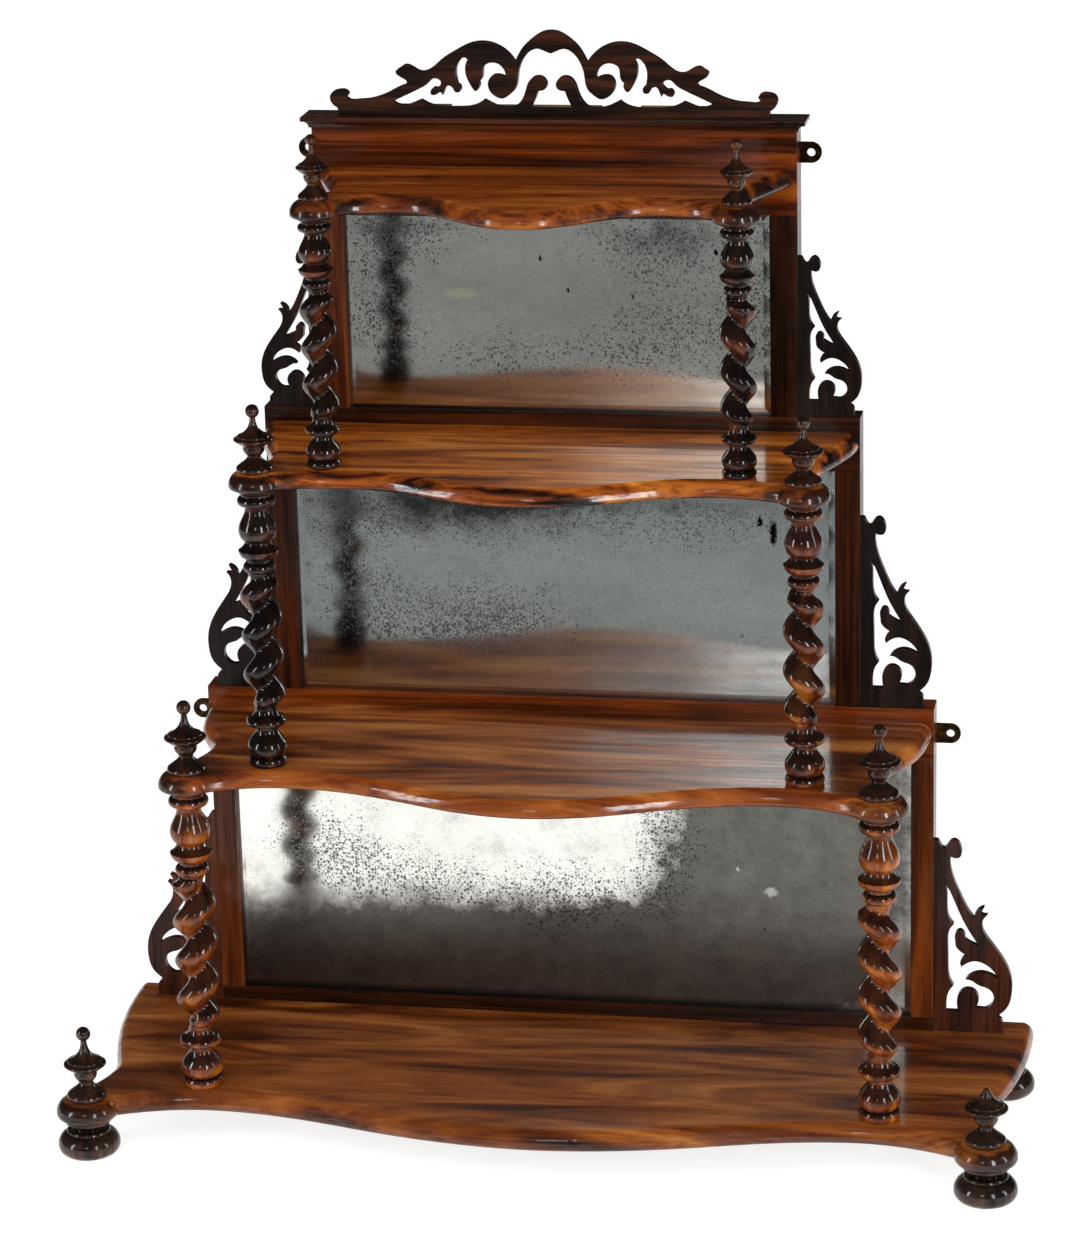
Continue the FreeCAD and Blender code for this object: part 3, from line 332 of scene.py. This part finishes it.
# Shared by the three plates. An edge is pushed about by a noise of so many units to the metre, as far as
# its reach in mm, and not at all where the noise has its middle value. Dust, billow and cloud are sizes
# in mm; a spot's size is a share of its cell, and spotsAbove leaves the other cells empty.
foxing = {
    "stainEdge": {"scale": 45.0, "detail": 4.0, "roughness": 0.65, "middle": 0.5, "reach": (60, 45)},
    "speckEdge": {"scale": 700.0, "detail": 2.0, "roughness": 0.5, "middle": 0.0, "reach": (1.2, 1.2)},
    "markEdge": {"scale": 260.0, "detail": 3.0, "roughness": 0.7, "middle": 0.5, "reach": (9, 9)},
    "dust": 1.6, "billow": 22.0, "cloud": (60.0, 120.0), "dustInSmoke": 0.55, "smokeDepth": 0.92,
    "spotColour": "#0b0b0a", "spotDepth": 0.8, "spotSize": 0.085, "spotsAbove": 0.78,
    "markGain": 1.6, "roughness": (0.09, 0.30),
}


def pushedAbout(tree, place, edge):
    # the place on the plate, moved by noise, so that what is drawn there gets a broken outline
    noise = addNode(tree, "TexNoise", {"Vector": place, "Scale": edge["scale"], "Detail": edge["detail"],
                                       "Roughness": edge["roughness"]})["Color"]
    centred = addNode(tree, "VectorMath", {0: noise, 1: (edge["middle"],) * 3},
                      operation="SUBTRACT")["Vector"]
    reach = (edge["reach"][0] * mm, 0, edge["reach"][1] * mm)
    return addNode(tree, "VectorMath", {0: centred, 1: reach, 2: place}, operation="MULTIPLY_ADD")["Vector"]


def stainAt(tree, place, centre, reach, strength):
    # strength at the stain's centre, fading to 0 at its reach
    offset = addNode(tree, "VectorMath", {0: place, 1: (centre[0] * mm, 0, centre[1] * mm)},
                     operation="SUBTRACT")["Vector"]
    share = addNode(tree, "VectorMath", {0: offset, 1: (1 / (reach[0] * mm), 0, 1 / (reach[1] * mm))},
                    operation="MULTIPLY")["Vector"]
    length = addNode(tree, "VectorMath", {0: share}, operation="LENGTH")["Value"]
    return addNode(tree, "MapRange", {
        "Value": length, "From Min": 0.2, "From Max": 1.0, "To Min": strength, "To Max": 0.0})["Result"]


def stainSum(tree, place, stains):
    total = stainAt(tree, place, *stains[0])
    for stain in stains[1:]:
        total = addNode(tree, "Math", {0: total, 1: stainAt(tree, place, *stain)}, operation="ADD")["Value"]
    return total


def speckMask(tree, place, sizes, density):
    # cells of two sizes, each with a dot if its chance and the stain's density are enough together
    specks = 0.0
    for spacing, share in sizes:
        cells = addNode(tree, "TexVoronoi", {"Vector": place, "Scale": 1 / (spacing * mm)})
        chance = addNode(tree, "SeparateXYZ", {"Vector": cells["Color"]})["X"]
        dense = addNode(tree, "Math", {0: density, 1: share, 2: chance}, operation="MULTIPLY_ADD")["Value"]
        size = addNode(tree, "MapRange", {
            "Value": dense, "From Min": 1.0, "From Max": 1.7, "To Min": -0.05, "To Max": 0.5})["Result"]
        inside = addNode(tree, "Math", {0: size, 1: cells["Distance"]}, operation="SUBTRACT")["Value"]
        dots = addNode(tree, "MapRange", {"Value": inside, "From Min": -0.06, "From Max": 0.12})["Result"]
        specks = addNode(tree, "Math", {0: specks, 1: dots}, operation="MAXIMUM")["Value"]
    return specks


def smokeMask(tree, place, smokes, dust, billow):
    # the smoke's edge breaks up into billows and dust
    broken = addNode(tree, "Math", {0: dust, 1: foxing["dustInSmoke"], 2: billow},
                     operation="MULTIPLY_ADD")["Value"]
    broken = addNode(tree, "MapRange", {
        "Value": broken, "From Min": 0.5, "From Max": 1.05, "To Min": -0.35, "To Max": 0.35})["Result"]
    smoke = addNode(tree, "Math", {0: stainSum(tree, place, smokes), 1: broken}, operation="ADD")["Value"]
    return addNode(tree, "MapRange", {
        "Value": smoke, "From Min": 0.0, "From Max": 1.0,
        "To Min": 0.0, "To Max": foxing["smokeDepth"]})["Result"]


def drawSpots(tree, face, place, spacing):
    # a few larger spots, each a cell of a coarse pattern with most cells left empty
    cells = addNode(tree, "TexVoronoi", {"Vector": place, "Scale": 1 / (spacing * mm)})
    few = addNode(tree, "SeparateXYZ", {"Vector": cells["Color"]})["X"]
    size = addNode(tree, "MapRange", {
        "Value": few, "From Min": foxing["spotsAbove"], "From Max": 1.0,
        "To Min": 0.0, "To Max": foxing["spotSize"]})["Result"]
    spot = addNode(tree, "Math", {0: cells["Distance"], 1: size}, operation="LESS_THAN")["Value"]
    spot = addNode(tree, "Math", {0: spot, 1: foxing["spotDepth"]}, operation="MULTIPLY")["Value"]
    return addNode(tree, "Mix", {"Factor": spot, "A": face, "B": foxing["spotColour"]},
                   data_type="RGBA")["Result"]


def drawMarks(tree, face, place, marks):
    # the plate's own larger flaws, with flaked edges
    flaked = pushedAbout(tree, place, foxing["markEdge"])
    for centre, reach, strength, code in marks:
        mark = stainAt(tree, flaked, centre, reach, strength * foxing["markGain"])
        mark = addNode(tree, "Math", {0: mark, 1: 1.0}, operation="MINIMUM")["Value"]
        face = addNode(tree, "Mix", {"Factor": mark, "A": face, "B": code}, data_type="RGBA")["Result"]
    return face


# Tin-mercury silvered glass: a metal mirror, greyed overall, and foxed with fine black specks
# and smoky patches where damp has eaten the silvering.
def foxedMirror(name, look):
    material, tree = newMaterial(name)
    place = addNode(tree, "TexCoord")["Object"]
    stainPlace = pushedAbout(tree, place, foxing["stainEdge"])
    speckPlace = pushedAbout(tree, place, foxing["speckEdge"])
    dust = addNode(tree, "TexNoise", {"Vector": speckPlace, "Scale": 1 / (foxing["dust"] * mm),
                                      "Detail": 3.0, "Roughness": 0.7})["Fac"]
    billow = addNode(tree, "TexNoise", {"Vector": place, "Scale": 1 / (foxing["billow"] * mm),
                                        "Detail": 6.0, "Roughness": 0.7})["Fac"]
    specks = speckMask(tree, speckPlace, look["specks"], stainSum(tree, stainPlace, look["stains"]))
    smoky = smokeMask(tree, stainPlace, look["smokes"], dust, billow)

    cloud = addNode(tree, "TexNoise", {
        "Vector": stretched(tree, "x", *foxing["cloud"], look["shift"]),
        "Scale": 1.0, "Detail": 6.0, "Roughness": 0.6})["Fac"]
    face = addNode(tree, "ValToRGB", {"Fac": cloud}, stops=look["silver"])["Color"]
    face = addNode(tree, "Mix", {"Factor": smoky, "A": face, "B": look["smokeColour"]},
                   data_type="RGBA")["Result"]
    # dust lies thinly over the whole plate, and the billows mottle it
    dusty = addNode(tree, "MapRange", {
        "Value": dust, "From Min": 0.3, "From Max": 0.6,
        "To Min": 1.0 - look["dustDepth"], "To Max": 1.04})["Result"]
    mottled = addNode(tree, "MapRange", {
        "Value": billow, "From Min": 0.3, "From Max": 0.7,
        "To Min": 1.0 - look["mottle"], "To Max": 1.0 + look["mottle"]})["Result"]
    for shade in (dusty, mottled):
        face = addNode(tree, "Mix", {"Factor": 1.0, "A": face, "B": shade},
                       data_type="RGBA", blend_type="MULTIPLY")["Result"]
    dark = addNode(tree, "Math", {0: specks, 1: look["speckDepth"]}, operation="MULTIPLY")["Value"]
    face = addNode(tree, "Mix", {"Factor": dark, "A": face, "B": look["speckColour"]},
                   data_type="RGBA")["Result"]
    face = drawSpots(tree, face, place, look["spotSpacing"])
    face = drawMarks(tree, face, place, look["marks"])

    worst = addNode(tree, "Math", {0: specks, 1: smoky}, operation="MAXIMUM")["Value"]
    dulled = addNode(tree, "MapRange", {
        "Value": worst, "From Min": 0.0, "From Max": 1.0,
        "To Min": foxing["roughness"][0], "To Max": foxing["roughness"][1]})["Result"]
    finishMaterial(tree, {"Base Color": face, "Roughness": dulled, "Metallic": 1.0})
    return material


# Lengths are in mm. Specks are (spacing, how much the stains thicken them). Stains and smokes are
# (across, up), (reach across, reach up), strength; marks have their colour after that.
mirrorLooks = {
    "upper": {
        "silver": [(0.3, "#c0c3bc"), (0.7, "#dcded8")], "shift": (0.0, 0.0, 0.0),
        "specks": [(1.4, 1.0), (2.7, 0.85)], "speckDepth": 0.62, "speckColour": "#2c2d2a",
        "dustDepth": 0.22, "mottle": 0.08, "smokeColour": "#555652", "spotSpacing": 12.0,
        "stains": [((-115, 686), (80, 34), 0.95), ((-142, 632), (50, 80), 0.9),
                   ((80, 682), (100, 40), 0.95), ((95, 610), (100, 70), 0.85),
                   ((-40, 588), (120, 40), 0.7), ((160, 650), (40, 120), 0.6),
                   ((0, 640), (320, 200), 0.2)],
        "smokes": [((86, 682), (60, 20), 0.5), ((-120, 692), (60, 12), 0.35)],
        "marks": [((-75, 638.5), (16, 5), 1.0, "#dcdcc2"), ((-12, 667), (2.0, 2.4), 1.0, "#0c0c0b"),
                  ((9, 642), (1.4, 1.8), 1.0, "#0c0c0b"), ((59, 638), (1.6, 1.6), 1.0, "#0c0c0b"),
                  ((123, 674), (2.2, 2.8), 1.0, "#0c0c0b"), ((41, 649), (0.7, 8), 0.8, "#d8dad4")],
    },
    "middle": {
        "silver": [(0.3, "#c2cac9"), (0.7, "#e0e7e5")], "shift": (2.0, 0.0, 1.0),
        "specks": [(1.4, 1.0), (2.6, 0.85)], "speckDepth": 0.64, "speckColour": "#262725",
        "dustDepth": 0.25, "mottle": 0.10, "smokeColour": "#2a2b29", "spotSpacing": 14.0,
        "stains": [((-80, 462), (150, 46), 0.9), ((-123, 378), (90, 52), 0.9),
                   ((-48, 378), (80, 52), 0.9), ((100, 462), (140, 40), 0.85),
                   ((-180, 432), (70, 90), 0.6), ((0, 405), (400, 200), 0.26)],
        "smokes": [((-78, 474), (126, 34), 1.1), ((-195, 462), (30, 60), 0.4),
                   ((60, 478), (150, 16), 0.5)],
        "marks": [((165, 453), (3.6, 12), 1.2, "#15100e"), ((155, 462), (2.2, 5), 1.1, "#15100e"),
                  ((96, 398), (7, 2.6), 0.9, "#cdd4cb"), ((-185, 382), (5, 3), 0.8, "#cdd4cb")],
    },
    "lower": {
        "silver": [(0.3, "#e6e6df"), (0.7, "#f6f6f0")], "shift": (4.0, 0.0, 3.0),
        "specks": [(1.3, 1.0), (2.6, 0.85)], "speckDepth": 0.78, "speckColour": "#2a2927",
        "dustDepth": 0.2, "mottle": 0.25, "smokeColour": "#53514c", "spotSpacing": 13.0,
        "stains": [((-205, 184), (70, 56), 0.9), ((-130, 152), (100, 44), 0.9),
                   ((0, 142), (100, 50), 0.9), ((80, 202), (40, 100), 0.9),
                   ((-120, 252), (130, 28), 0.5), ((0, 202), (330, 160), 0.30)],
        "smokes": [((180, 192), (124, 200), 2.4), ((130, 112), (118, 84), 1.8),
                   ((-120, 84), (300, 74), 2.0), ((60, 86), (180, 62), 2.0)],
        "marks": [((135, 174), (3, 2.4), 0.9, "#b5b4ac"), ((161, 156), (6, 4.5), 0.9, "#b5b4ac"),
                  ((50, 143), (2.6, 4), 0.9, "#b5b4ac")],
    },
}
mirrors = {tier: foxedMirror("foxedSilveredGlass" + tier.capitalize(), look)
           for tier, look in mirrorLooks.items()}
print("mirror glass made")

# pattern sizes across and along the grain, and the depth of the saw marks, in mm
pineLook = {"ring": (9.0, 300.0), "stain": (70.0, 110.0), "saw": (2.5, 60.0), "sawDepth": 0.4,
            "wood": [(0.3, "#6a4626"), (0.5, "#9c7244"), (0.7, "#b88e5c")], "roughness": (0.9, 0.7)}


# Pine boards, sawn and unpolished: pale rings gone brown with age, water stains and dry saw marks.
def agedPine(name, look):
    material, tree = newMaterial(name)
    ring = addNode(tree, "TexNoise", {"Vector": stretched(tree, "x", *look["ring"]), "Scale": 1.0,
                                      "Detail": 3.0, "Distortion": 0.4})["Fac"]
    wood = addNode(tree, "ValToRGB", {"Fac": ring}, stops=look["wood"])["Color"]
    stain = addNode(tree, "TexNoise", {"Vector": stretched(tree, "x", *look["stain"]), "Scale": 1.0,
                                       "Detail": 5.0, "Roughness": 0.6})["Fac"]
    stained = addNode(tree, "MapRange", {
        "Value": stain, "From Min": 0.4, "From Max": 0.7, "To Min": 1.0, "To Max": 0.62})["Result"]
    wood = addNode(tree, "Mix", {"Factor": 1.0, "A": wood, "B": stained},
                   data_type="RGBA", blend_type="MULTIPLY")["Result"]
    saw = addNode(tree, "TexNoise", {"Vector": stretched(tree, "z", *look["saw"]), "Scale": 1.0,
                                     "Detail": 2.0})["Fac"]
    sawn = addNode(tree, "Bump", {"Strength": 0.5, "Distance": look["sawDepth"] * mm,
                                  "Height": saw})["Normal"]
    dry = addNode(tree, "MapRange", {
        "Value": stain, "From Min": 0.3, "From Max": 0.7,
        "To Min": look["roughness"][0], "To Max": look["roughness"][1]})["Result"]
    finishMaterial(tree, {"Base Color": wood, "Normal": sawn, "Roughness": dry})
    return material


# Stamped brass, bronzed brown, bright where it has been rubbed. Patch size and pit depth in mm.
brassLook = {"patch": 5.0, "pits": 0.1, "roughness": (0.45, 0.25),
             "metal": [(0.35, "#1a120c"), (0.55, "#3c2a1a"), (0.75, "#6e5230")]}
# Drawn steel, dulled and lightly rusted.
steelLook = {"patch": 1.5, "pits": 0.1, "roughness": (0.5, 0.3),
             "metal": [(0.35, "#4a3a30"), (0.5, "#6f6a66"), (0.7, "#9a9794")]}


def agedMetal(name, look):
    # patchy in colour and gloss, and a little pitted
    material, tree = newMaterial(name)
    patch = addNode(tree, "TexNoise", {"Vector": stretched(tree, "x", look["patch"], look["patch"]),
                                       "Scale": 1.0, "Detail": 4.0, "Roughness": 0.7})["Fac"]
    metal = addNode(tree, "ValToRGB", {"Fac": patch}, stops=look["metal"])["Color"]
    dull = addNode(tree, "MapRange", {
        "Value": patch, "From Min": 0.3, "From Max": 0.7,
        "To Min": look["roughness"][0], "To Max": look["roughness"][1]})["Result"]
    pitted = addNode(tree, "Bump", {"Strength": 0.3, "Distance": look["pits"] * mm,
                                    "Height": patch})["Normal"]
    finishMaterial(tree, {"Base Color": metal, "Roughness": dull, "Normal": pitted, "Metallic": 1.0})
    return material


pine = agedPine("agedSawnPine", pineLook)
brass = agedMetal("bronzedBrass", brassLook)
steel = agedMetal("dulledSteel", steelLook)
print("pine and metals made")


# the first of these words that is in a piece's name says which wood it has
woodChoice = [
    ("base_shelf", "baseShelf"), ("second_shelf", "secondShelf"), ("third_shelf", "thirdShelf"),
    ("top_shelf", "topShelf"), ("frieze", "frieze"), ("cornice", "cornice"),
    ("upper_rail", "darkRail"), ("base_rail", "darkRail"), ("lower_rail", "warmRail"),
    ("lower_stile", "warmStile"), ("upper_stile_left", "warmStile"), ("_stile", "darkStile"),
    ("lower_column", "warmTurned"), ("middle_column_right", "midTurned"), ("column", "turned"),
    ("base_finial", "foot"), ("finial", "deepTurned"), ("foot", "foot"),
    ("lower_fret", "lowFret"), ("fret", "fret"), ("crest", "crest"),
]


def finishFor(name):
    if "mirror" in name:
        return mirrors[name.split("_")[0]]
    if "screws" in name or "pins" in name:
        return steel
    if "backboard" in name or "glue_blocks" in name:
        return pine
    if "plate" in name:
        return brass
    return woods[next(wood for word, wood in woodChoice if word in name)]


for name, piece in nodes.items():
    piece.data.materials.clear()
    piece.data.materials.append(finishFor(name))
print("finishes laid on")

# Barley twists: the full, rounded bead over each shaft's plain winding. A ring that is drawn in to a
# hollow on one side is raised and turned a little at every step; the hollow leaves the groove.
# A twist stands over its shelf, on the axis of the finial above it. The run's start and end, and the
# crest, where the bead faces forward, are heights over the shelf; all in mm.
twists = {
    "lower": {"shelf": "base_shelf", "finial": "second_finial", "run": (50.0, 173.0), "radius": 16.4,
              "pitch": 32.0, "crest": {"left": 78.1, "right": 61.4}},
    "middle": {"shelf": "second_shelf", "finial": "third_finial", "run": (46.4, 152.1), "radius": 15.42,
               "pitch": 30.88, "crest": {"left": 78.5, "right": 82.0}},
    "upper": {"shelf": "third_shelf", "finial": "top_finial", "run": (37.8, 136.0), "radius": 13.28,
              "pitch": 28.16, "crest": {"left": 68.9, "right": 74.7}},
}
# groove and bead are shares of the radius; a run-out is a share of the pitch
twistShape = {"groove": 0.425, "bead": 0.605, "bluntness": 0.78, "stepsPerTurn": 24, "points": 40,
              "runOut": 0.3, "endScale": 0.57}


# what is selected in object mode stays selected in edit mode
def selectVertex(piece, index):
    bpy.ops.mesh.select_mode(type="VERT")
    bpy.ops.mesh.select_all(action="DESELECT")
    bpy.ops.object.mode_set(mode="OBJECT")
    piece.data.vertices[index].select = True
    bpy.ops.object.mode_set(mode="EDIT")


def selectFaces(piece, wanted):
    bpy.ops.mesh.select_mode(type="FACE")
    bpy.ops.mesh.select_all(action="DESELECT")
    bpy.ops.object.mode_set(mode="OBJECT")
    for face in piece.data.polygons:
        face.select = wanted(face)
    bpy.ops.object.mode_set(mode="EDIT")


def drawInRing(piece):
    # each point is drawn in towards the axis, least at the bead and most at the hollow
    points = [vertex.co.copy() for vertex in piece.data.vertices]
    for index, point in enumerate(points):
        nearness = (1 + math.cos(math.atan2(point.y, point.x))) / 2
        reach = twistShape["groove"] + twistShape["bead"] * nearness ** twistShape["bluntness"]
        selectVertex(piece, index)
        bpy.ops.transform.resize(value=(reach, reach, 1), center_override=(0, 0, 0))


def makeTwist(name, twist, side):
    hand = -1 if side == "left" else 1
    start, end = twist["run"]
    steps = round((end - start) / twist["pitch"] * twistShape["stepsPerTurn"])
    rise = (end - start) / steps
    turnStep = hand * 2 * math.pi * rise / twist["pitch"]
    crestTurn = math.pi / 2 + hand * 2 * math.pi * (start - twist["crest"][side]) / twist["pitch"]
    runOut = twistShape["runOut"] * twist["pitch"]
    fullness = [min(1.0, i * rise / runOut, (steps - i) * rise / runOut) for i in range(steps + 1)]
    scales = [twistShape["endScale"] + (1 - twistShape["endScale"]) * full for full in fullness]
    bpy.ops.object.select_all(action="DESELECT")
    bpy.ops.mesh.primitive_circle_add(vertices=twistShape["points"], radius=twist["radius"] * mm,
                                      fill_type="NGON", location=(0, 0, 0))
    piece = bpy.context.object
    piece.name = name
    bpy.ops.object.mode_set(mode="EDIT")
    drawInRing(piece)

    # with no window transform.rotate goes the other way, so these turns have the opposite sign
    bpy.ops.mesh.select_all(action="SELECT")
    bpy.ops.transform.rotate(value=crestTurn, orient_axis="Z", center_override=(0, 0, 0))
    bpy.ops.transform.resize(value=(scales[0], scales[0], 1), center_override=(0, 0, 0))
    for step in range(steps):
        bpy.ops.mesh.extrude_region_move(TRANSFORM_OT_translate={"value": (0, 0, rise * mm)})
        bpy.ops.transform.rotate(value=turnStep, orient_axis="Z", center_override=(0, 0, 0))
        growth = scales[step + 1] / scales[step]
        if growth != 1:
            bpy.ops.transform.resize(value=(growth, growth, 1), center_override=(0, 0, 0))
    bpy.ops.mesh.select_all(action="SELECT")
    lowest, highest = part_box("%s_%s" % (twist["finial"], side))
    axis = (lowest + highest) / 2
    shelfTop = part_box(twist["shelf"])[1].z
    bpy.ops.transform.translate(value=(axis.x, axis.y, shelfTop + start * mm))
    bpy.ops.mesh.normals_make_consistent(inside=False)
    bpy.ops.object.mode_set(mode="OBJECT")
    bpy.ops.object.shade_smooth()
    return piece


for tier, twist in twists.items():
    for side in ("left", "right"):
        piece = makeTwist("%s_twist_%s" % (tier, side), twist, side)
        piece.data.materials.append(finishFor("%s_column_%s" % (tier, side)))
        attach(piece, "root")
print("twists turned")

# Slotted heads of the steel screws on the back of the frame, a little proud of it, each slot at its
# own angle. Lengths in mm.
screwHead = {"height": 0.5, "dome": 0.3, "slotWidth": 0.9, "slotDepth": 0.45, "slotEnd": 0.06,
             "turnByPlace": 0.7, "turnByLevel": 0.01}
screwPlan = {
    # head radius: rows of level and places across; the small ones hold the hanging plates
    3.2: [(747.5, (-171, -156, 156, 171)), (288.0, (-286, -271, 271, 286))],
    4.0: [(732.5, (-110, 0, 110)), (529.0, (-130, 0, 130)), (297.0, (-170, 0, 170))],
}


def facesUp(face):
    return face.normal.z > 0.9


def modelScrewHead(radius):
    half = screwHead["slotWidth"] * mm / 2
    bpy.ops.object.select_all(action="DESELECT")
    bpy.ops.mesh.primitive_cylinder_add(vertices=32, radius=radius * mm, depth=screwHead["height"] * mm,
                                        location=(0, 0, 0))
    head = bpy.context.object
    bpy.ops.object.mode_set(mode="EDIT")
    selectFaces(head, facesUp)
    bpy.ops.mesh.inset(thickness=screwHead["dome"] * mm, depth=screwHead["dome"] * mm)
    for side in (-half, half):
        bpy.ops.mesh.select_all(action="SELECT")
        bpy.ops.mesh.bisect(plane_co=(side, 0, 0), plane_no=(1, 0, 0))
    selectFaces(head, lambda face: facesUp(face) and abs(face.center.x) < half)
    bpy.ops.mesh.inset(thickness=screwHead["slotEnd"] * mm)
    bpy.ops.mesh.extrude_region_move(TRANSFORM_OT_translate={"value": (0, 0, -screwHead["slotDepth"] * mm)})
    bpy.ops.object.mode_set(mode="OBJECT")
    return head


def setScrewHead(head, name, place, turn):
    bpy.ops.object.select_all(action="DESELECT")
    head.select_set(True)
    bpy.context.view_layer.objects.active = head
    bpy.ops.object.duplicate()
    piece = bpy.context.object
    piece.name = name
    piece.rotation_euler = (math.radians(-90), turn, 0)
    piece.location = place
    bpy.ops.object.transform_apply(location=True, rotation=True, scale=False)
    return piece


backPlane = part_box("lower_rail")[1].y
for radius, rows in screwPlan.items():
    head = modelScrewHead(radius)
    for level, acrossPlaces in rows:
        for index, across in enumerate(acrossPlaces):
            place = (across * mm, backPlane + screwHead["height"] * mm / 2, level * mm)
            turn = screwHead["turnByPlace"] * index + screwHead["turnByLevel"] * level
            piece = setScrewHead(head, "screw_head_%d_%d" % (level, index), place, turn)
            piece.data.materials.append(steel)
            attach(piece, "root")
    bpy.data.objects.remove(head)
print("screw heads set")

# Studio: pale floor with a grey card on it, a white card high in front, and softboxes, in a room whose
# dark walls show only in gloss. Sizes and places in metres.
floorLook = {"size": 14.0, "colour": "#b8b8b6", "lift": 0.80}
greyCard = {"size": (5.0, 4.2), "place": (0.2, -2.95, 0.004), "glow": 0.33}
highCard = {"size": (0.55, 0.26), "place": (-0.34, -3.6, 1.66), "glow": 1.5}
room = {"size": (10.0, 10.0, 5.0), "below": 0.5, "glow": 0.035}
skyLook = {"lighting": 0.46, "backdrop": 1.0}


def seenDirectly(tree):
    # 1 for rays from the camera or off gloss and glass, 0 for light that falls on things
    path = addNode(tree, "LightPath")
    seen = addNode(tree, "Math", {0: path["Is Camera Ray"], 1: path["Is Glossy Ray"]},
                   operation="MAXIMUM")["Value"]
    return addNode(tree, "Math", {0: seen, 1: path["Is Transmission Ray"]}, operation="MAXIMUM")["Value"]


def makeFlag(flag, name, look):
    # a studio surface that shows only in reflections
    flag.name = name
    paper, tree = newMaterial(name + "Paper")
    finishMaterial(tree, {"Base Color": "#000000", "Specular IOR Level": 0.0,
                          "Emission Color": "#ffffff", "Emission Strength": look["glow"]})
    flag.data.materials.append(paper)
    flag.visible_camera = False
    flag.visible_shadow = False
    flag.visible_diffuse = False


bpy.ops.object.select_all(action="DESELECT")
bpy.ops.mesh.primitive_plane_add(size=floorLook["size"], location=(0, 0, 0))
floor = bpy.context.object
floor.name = "studioFloor"
floorFinish, tree = newMaterial("paleStudioFloor")
lift = addNode(tree, "Math", {0: seenDirectly(tree), 1: floorLook["lift"]}, operation="MULTIPLY")["Value"]
finishMaterial(tree, {"Base Color": floorLook["colour"], "Roughness": 0.9, "Specular IOR Level": 0.0,
                      "Emission Color": "#ffffff", "Emission Strength": lift})
floor.data.materials.append(floorFinish)

bpy.ops.mesh.primitive_plane_add(size=1.0, location=greyCard["place"])
bpy.context.object.scale = (*greyCard["size"], 1.0)
makeFlag(bpy.context.object, "frontGreyCard", greyCard)

bpy.ops.mesh.primitive_plane_add(size=1.0, location=highCard["place"], rotation=(math.radians(90), 0, 0))
bpy.context.object.scale = (*highCard["size"], 1.0)
makeFlag(bpy.context.object, "highCard", highCard)

bpy.ops.mesh.primitive_cube_add(size=1.0, location=(0, 0, room["size"][2] / 2 - room["below"]))
bpy.context.object.scale = room["size"]
makeFlag(bpy.context.object, "darkRoom", room)

world = bpy.data.worlds.new("studioWorld")
bpy.context.scene.world = world
world.use_nodes = True
tree = world.node_tree
tree.nodes.clear()
ambient = addNode(tree, "Background", {"Color": "#ffffff", "Strength": skyLook["lighting"]})
backdrop = addNode(tree, "Background", {"Color": "#ffffff", "Strength": skyLook["backdrop"]})
sky = addNode(tree, "MixShader", {0: seenDirectly(tree), 1: ambient["Background"],
                                  2: backdrop["Background"]})
addNode(tree, "OutputWorld", {"Surface": sky["Shader"]})

# turn is the bearing seen from the object, in degrees to the right of straight in front
lamps = {
    "highSoftbox": {"turn": -2.5, "away": 3.6, "height": 1.77, "size": (0.5, 0.75), "glow": 7.5},
    "frontStrip": {"turn": 36, "away": 3.3, "height": 1.15, "size": (0.42, 1.9), "glow": 18},
    "leftStrip": {"turn": -56, "away": 2.9, "height": 1.0, "size": (0.34, 1.7), "glow": 14},
    "rightStrip": {"turn": 80, "away": 2.9, "height": 1.0, "size": (0.34, 1.7), "glow": 9},
    "topFill": {"turn": -15, "away": 2.0, "height": 2.5, "size": (1.6, 1.6), "glow": 2.4},
}
lampAim = Vector((0, 0, 0.45))
for name, lamp in lamps.items():
    light = bpy.data.lights.new(name, "AREA")
    light.shape = "RECTANGLE"
    light.size, light.size_y = lamp["size"]
    light.energy = lamp["glow"] * math.pi * lamp["size"][0] * lamp["size"][1]
    holder = bpy.data.objects.new(name, light)
    bpy.context.scene.collection.objects.link(holder)
    bearing = math.radians(lamp["turn"])
    holder.location = (lamp["away"] * math.sin(bearing), -lamp["away"] * math.cos(bearing), lamp["height"])
    holder.visible_glossy = name != "topFill"  # the fill lights the boards without showing in them
    holder.rotation_mode = "QUATERNION"
    holder.rotation_quaternion = (lampAim - holder.location).to_track_quat("-Z", "Y")

# place in metres, angles in degrees; down is how far the camera looks below level
view = {"place": (0.55303, -2.98977, 1.37893), "turn": 10.475, "down": 17.679, "roll": -1.491,
        "lens": 140.44, "sensor": 36.0}
camera = bpy.data.objects.new("camera", bpy.data.cameras.new("camera"))
bpy.context.scene.collection.objects.link(camera)
camera.matrix_world = (Matrix.Translation(view["place"])
                       @ Matrix.Rotation(math.radians(view["turn"]), 4, "Z")
                       @ Matrix.Rotation(math.radians(90 - view["down"]), 4, "X")
                       @ Matrix.Rotation(math.radians(view["roll"]), 4, "Z"))
camera.data.sensor_fit = "HORIZONTAL"
camera.data.sensor_width = view["sensor"]
camera.data.lens = view["lens"]
bpy.context.scene.camera = camera
bpy.context.scene.view_settings.view_transform = "Standard"
print("studio and camera set")
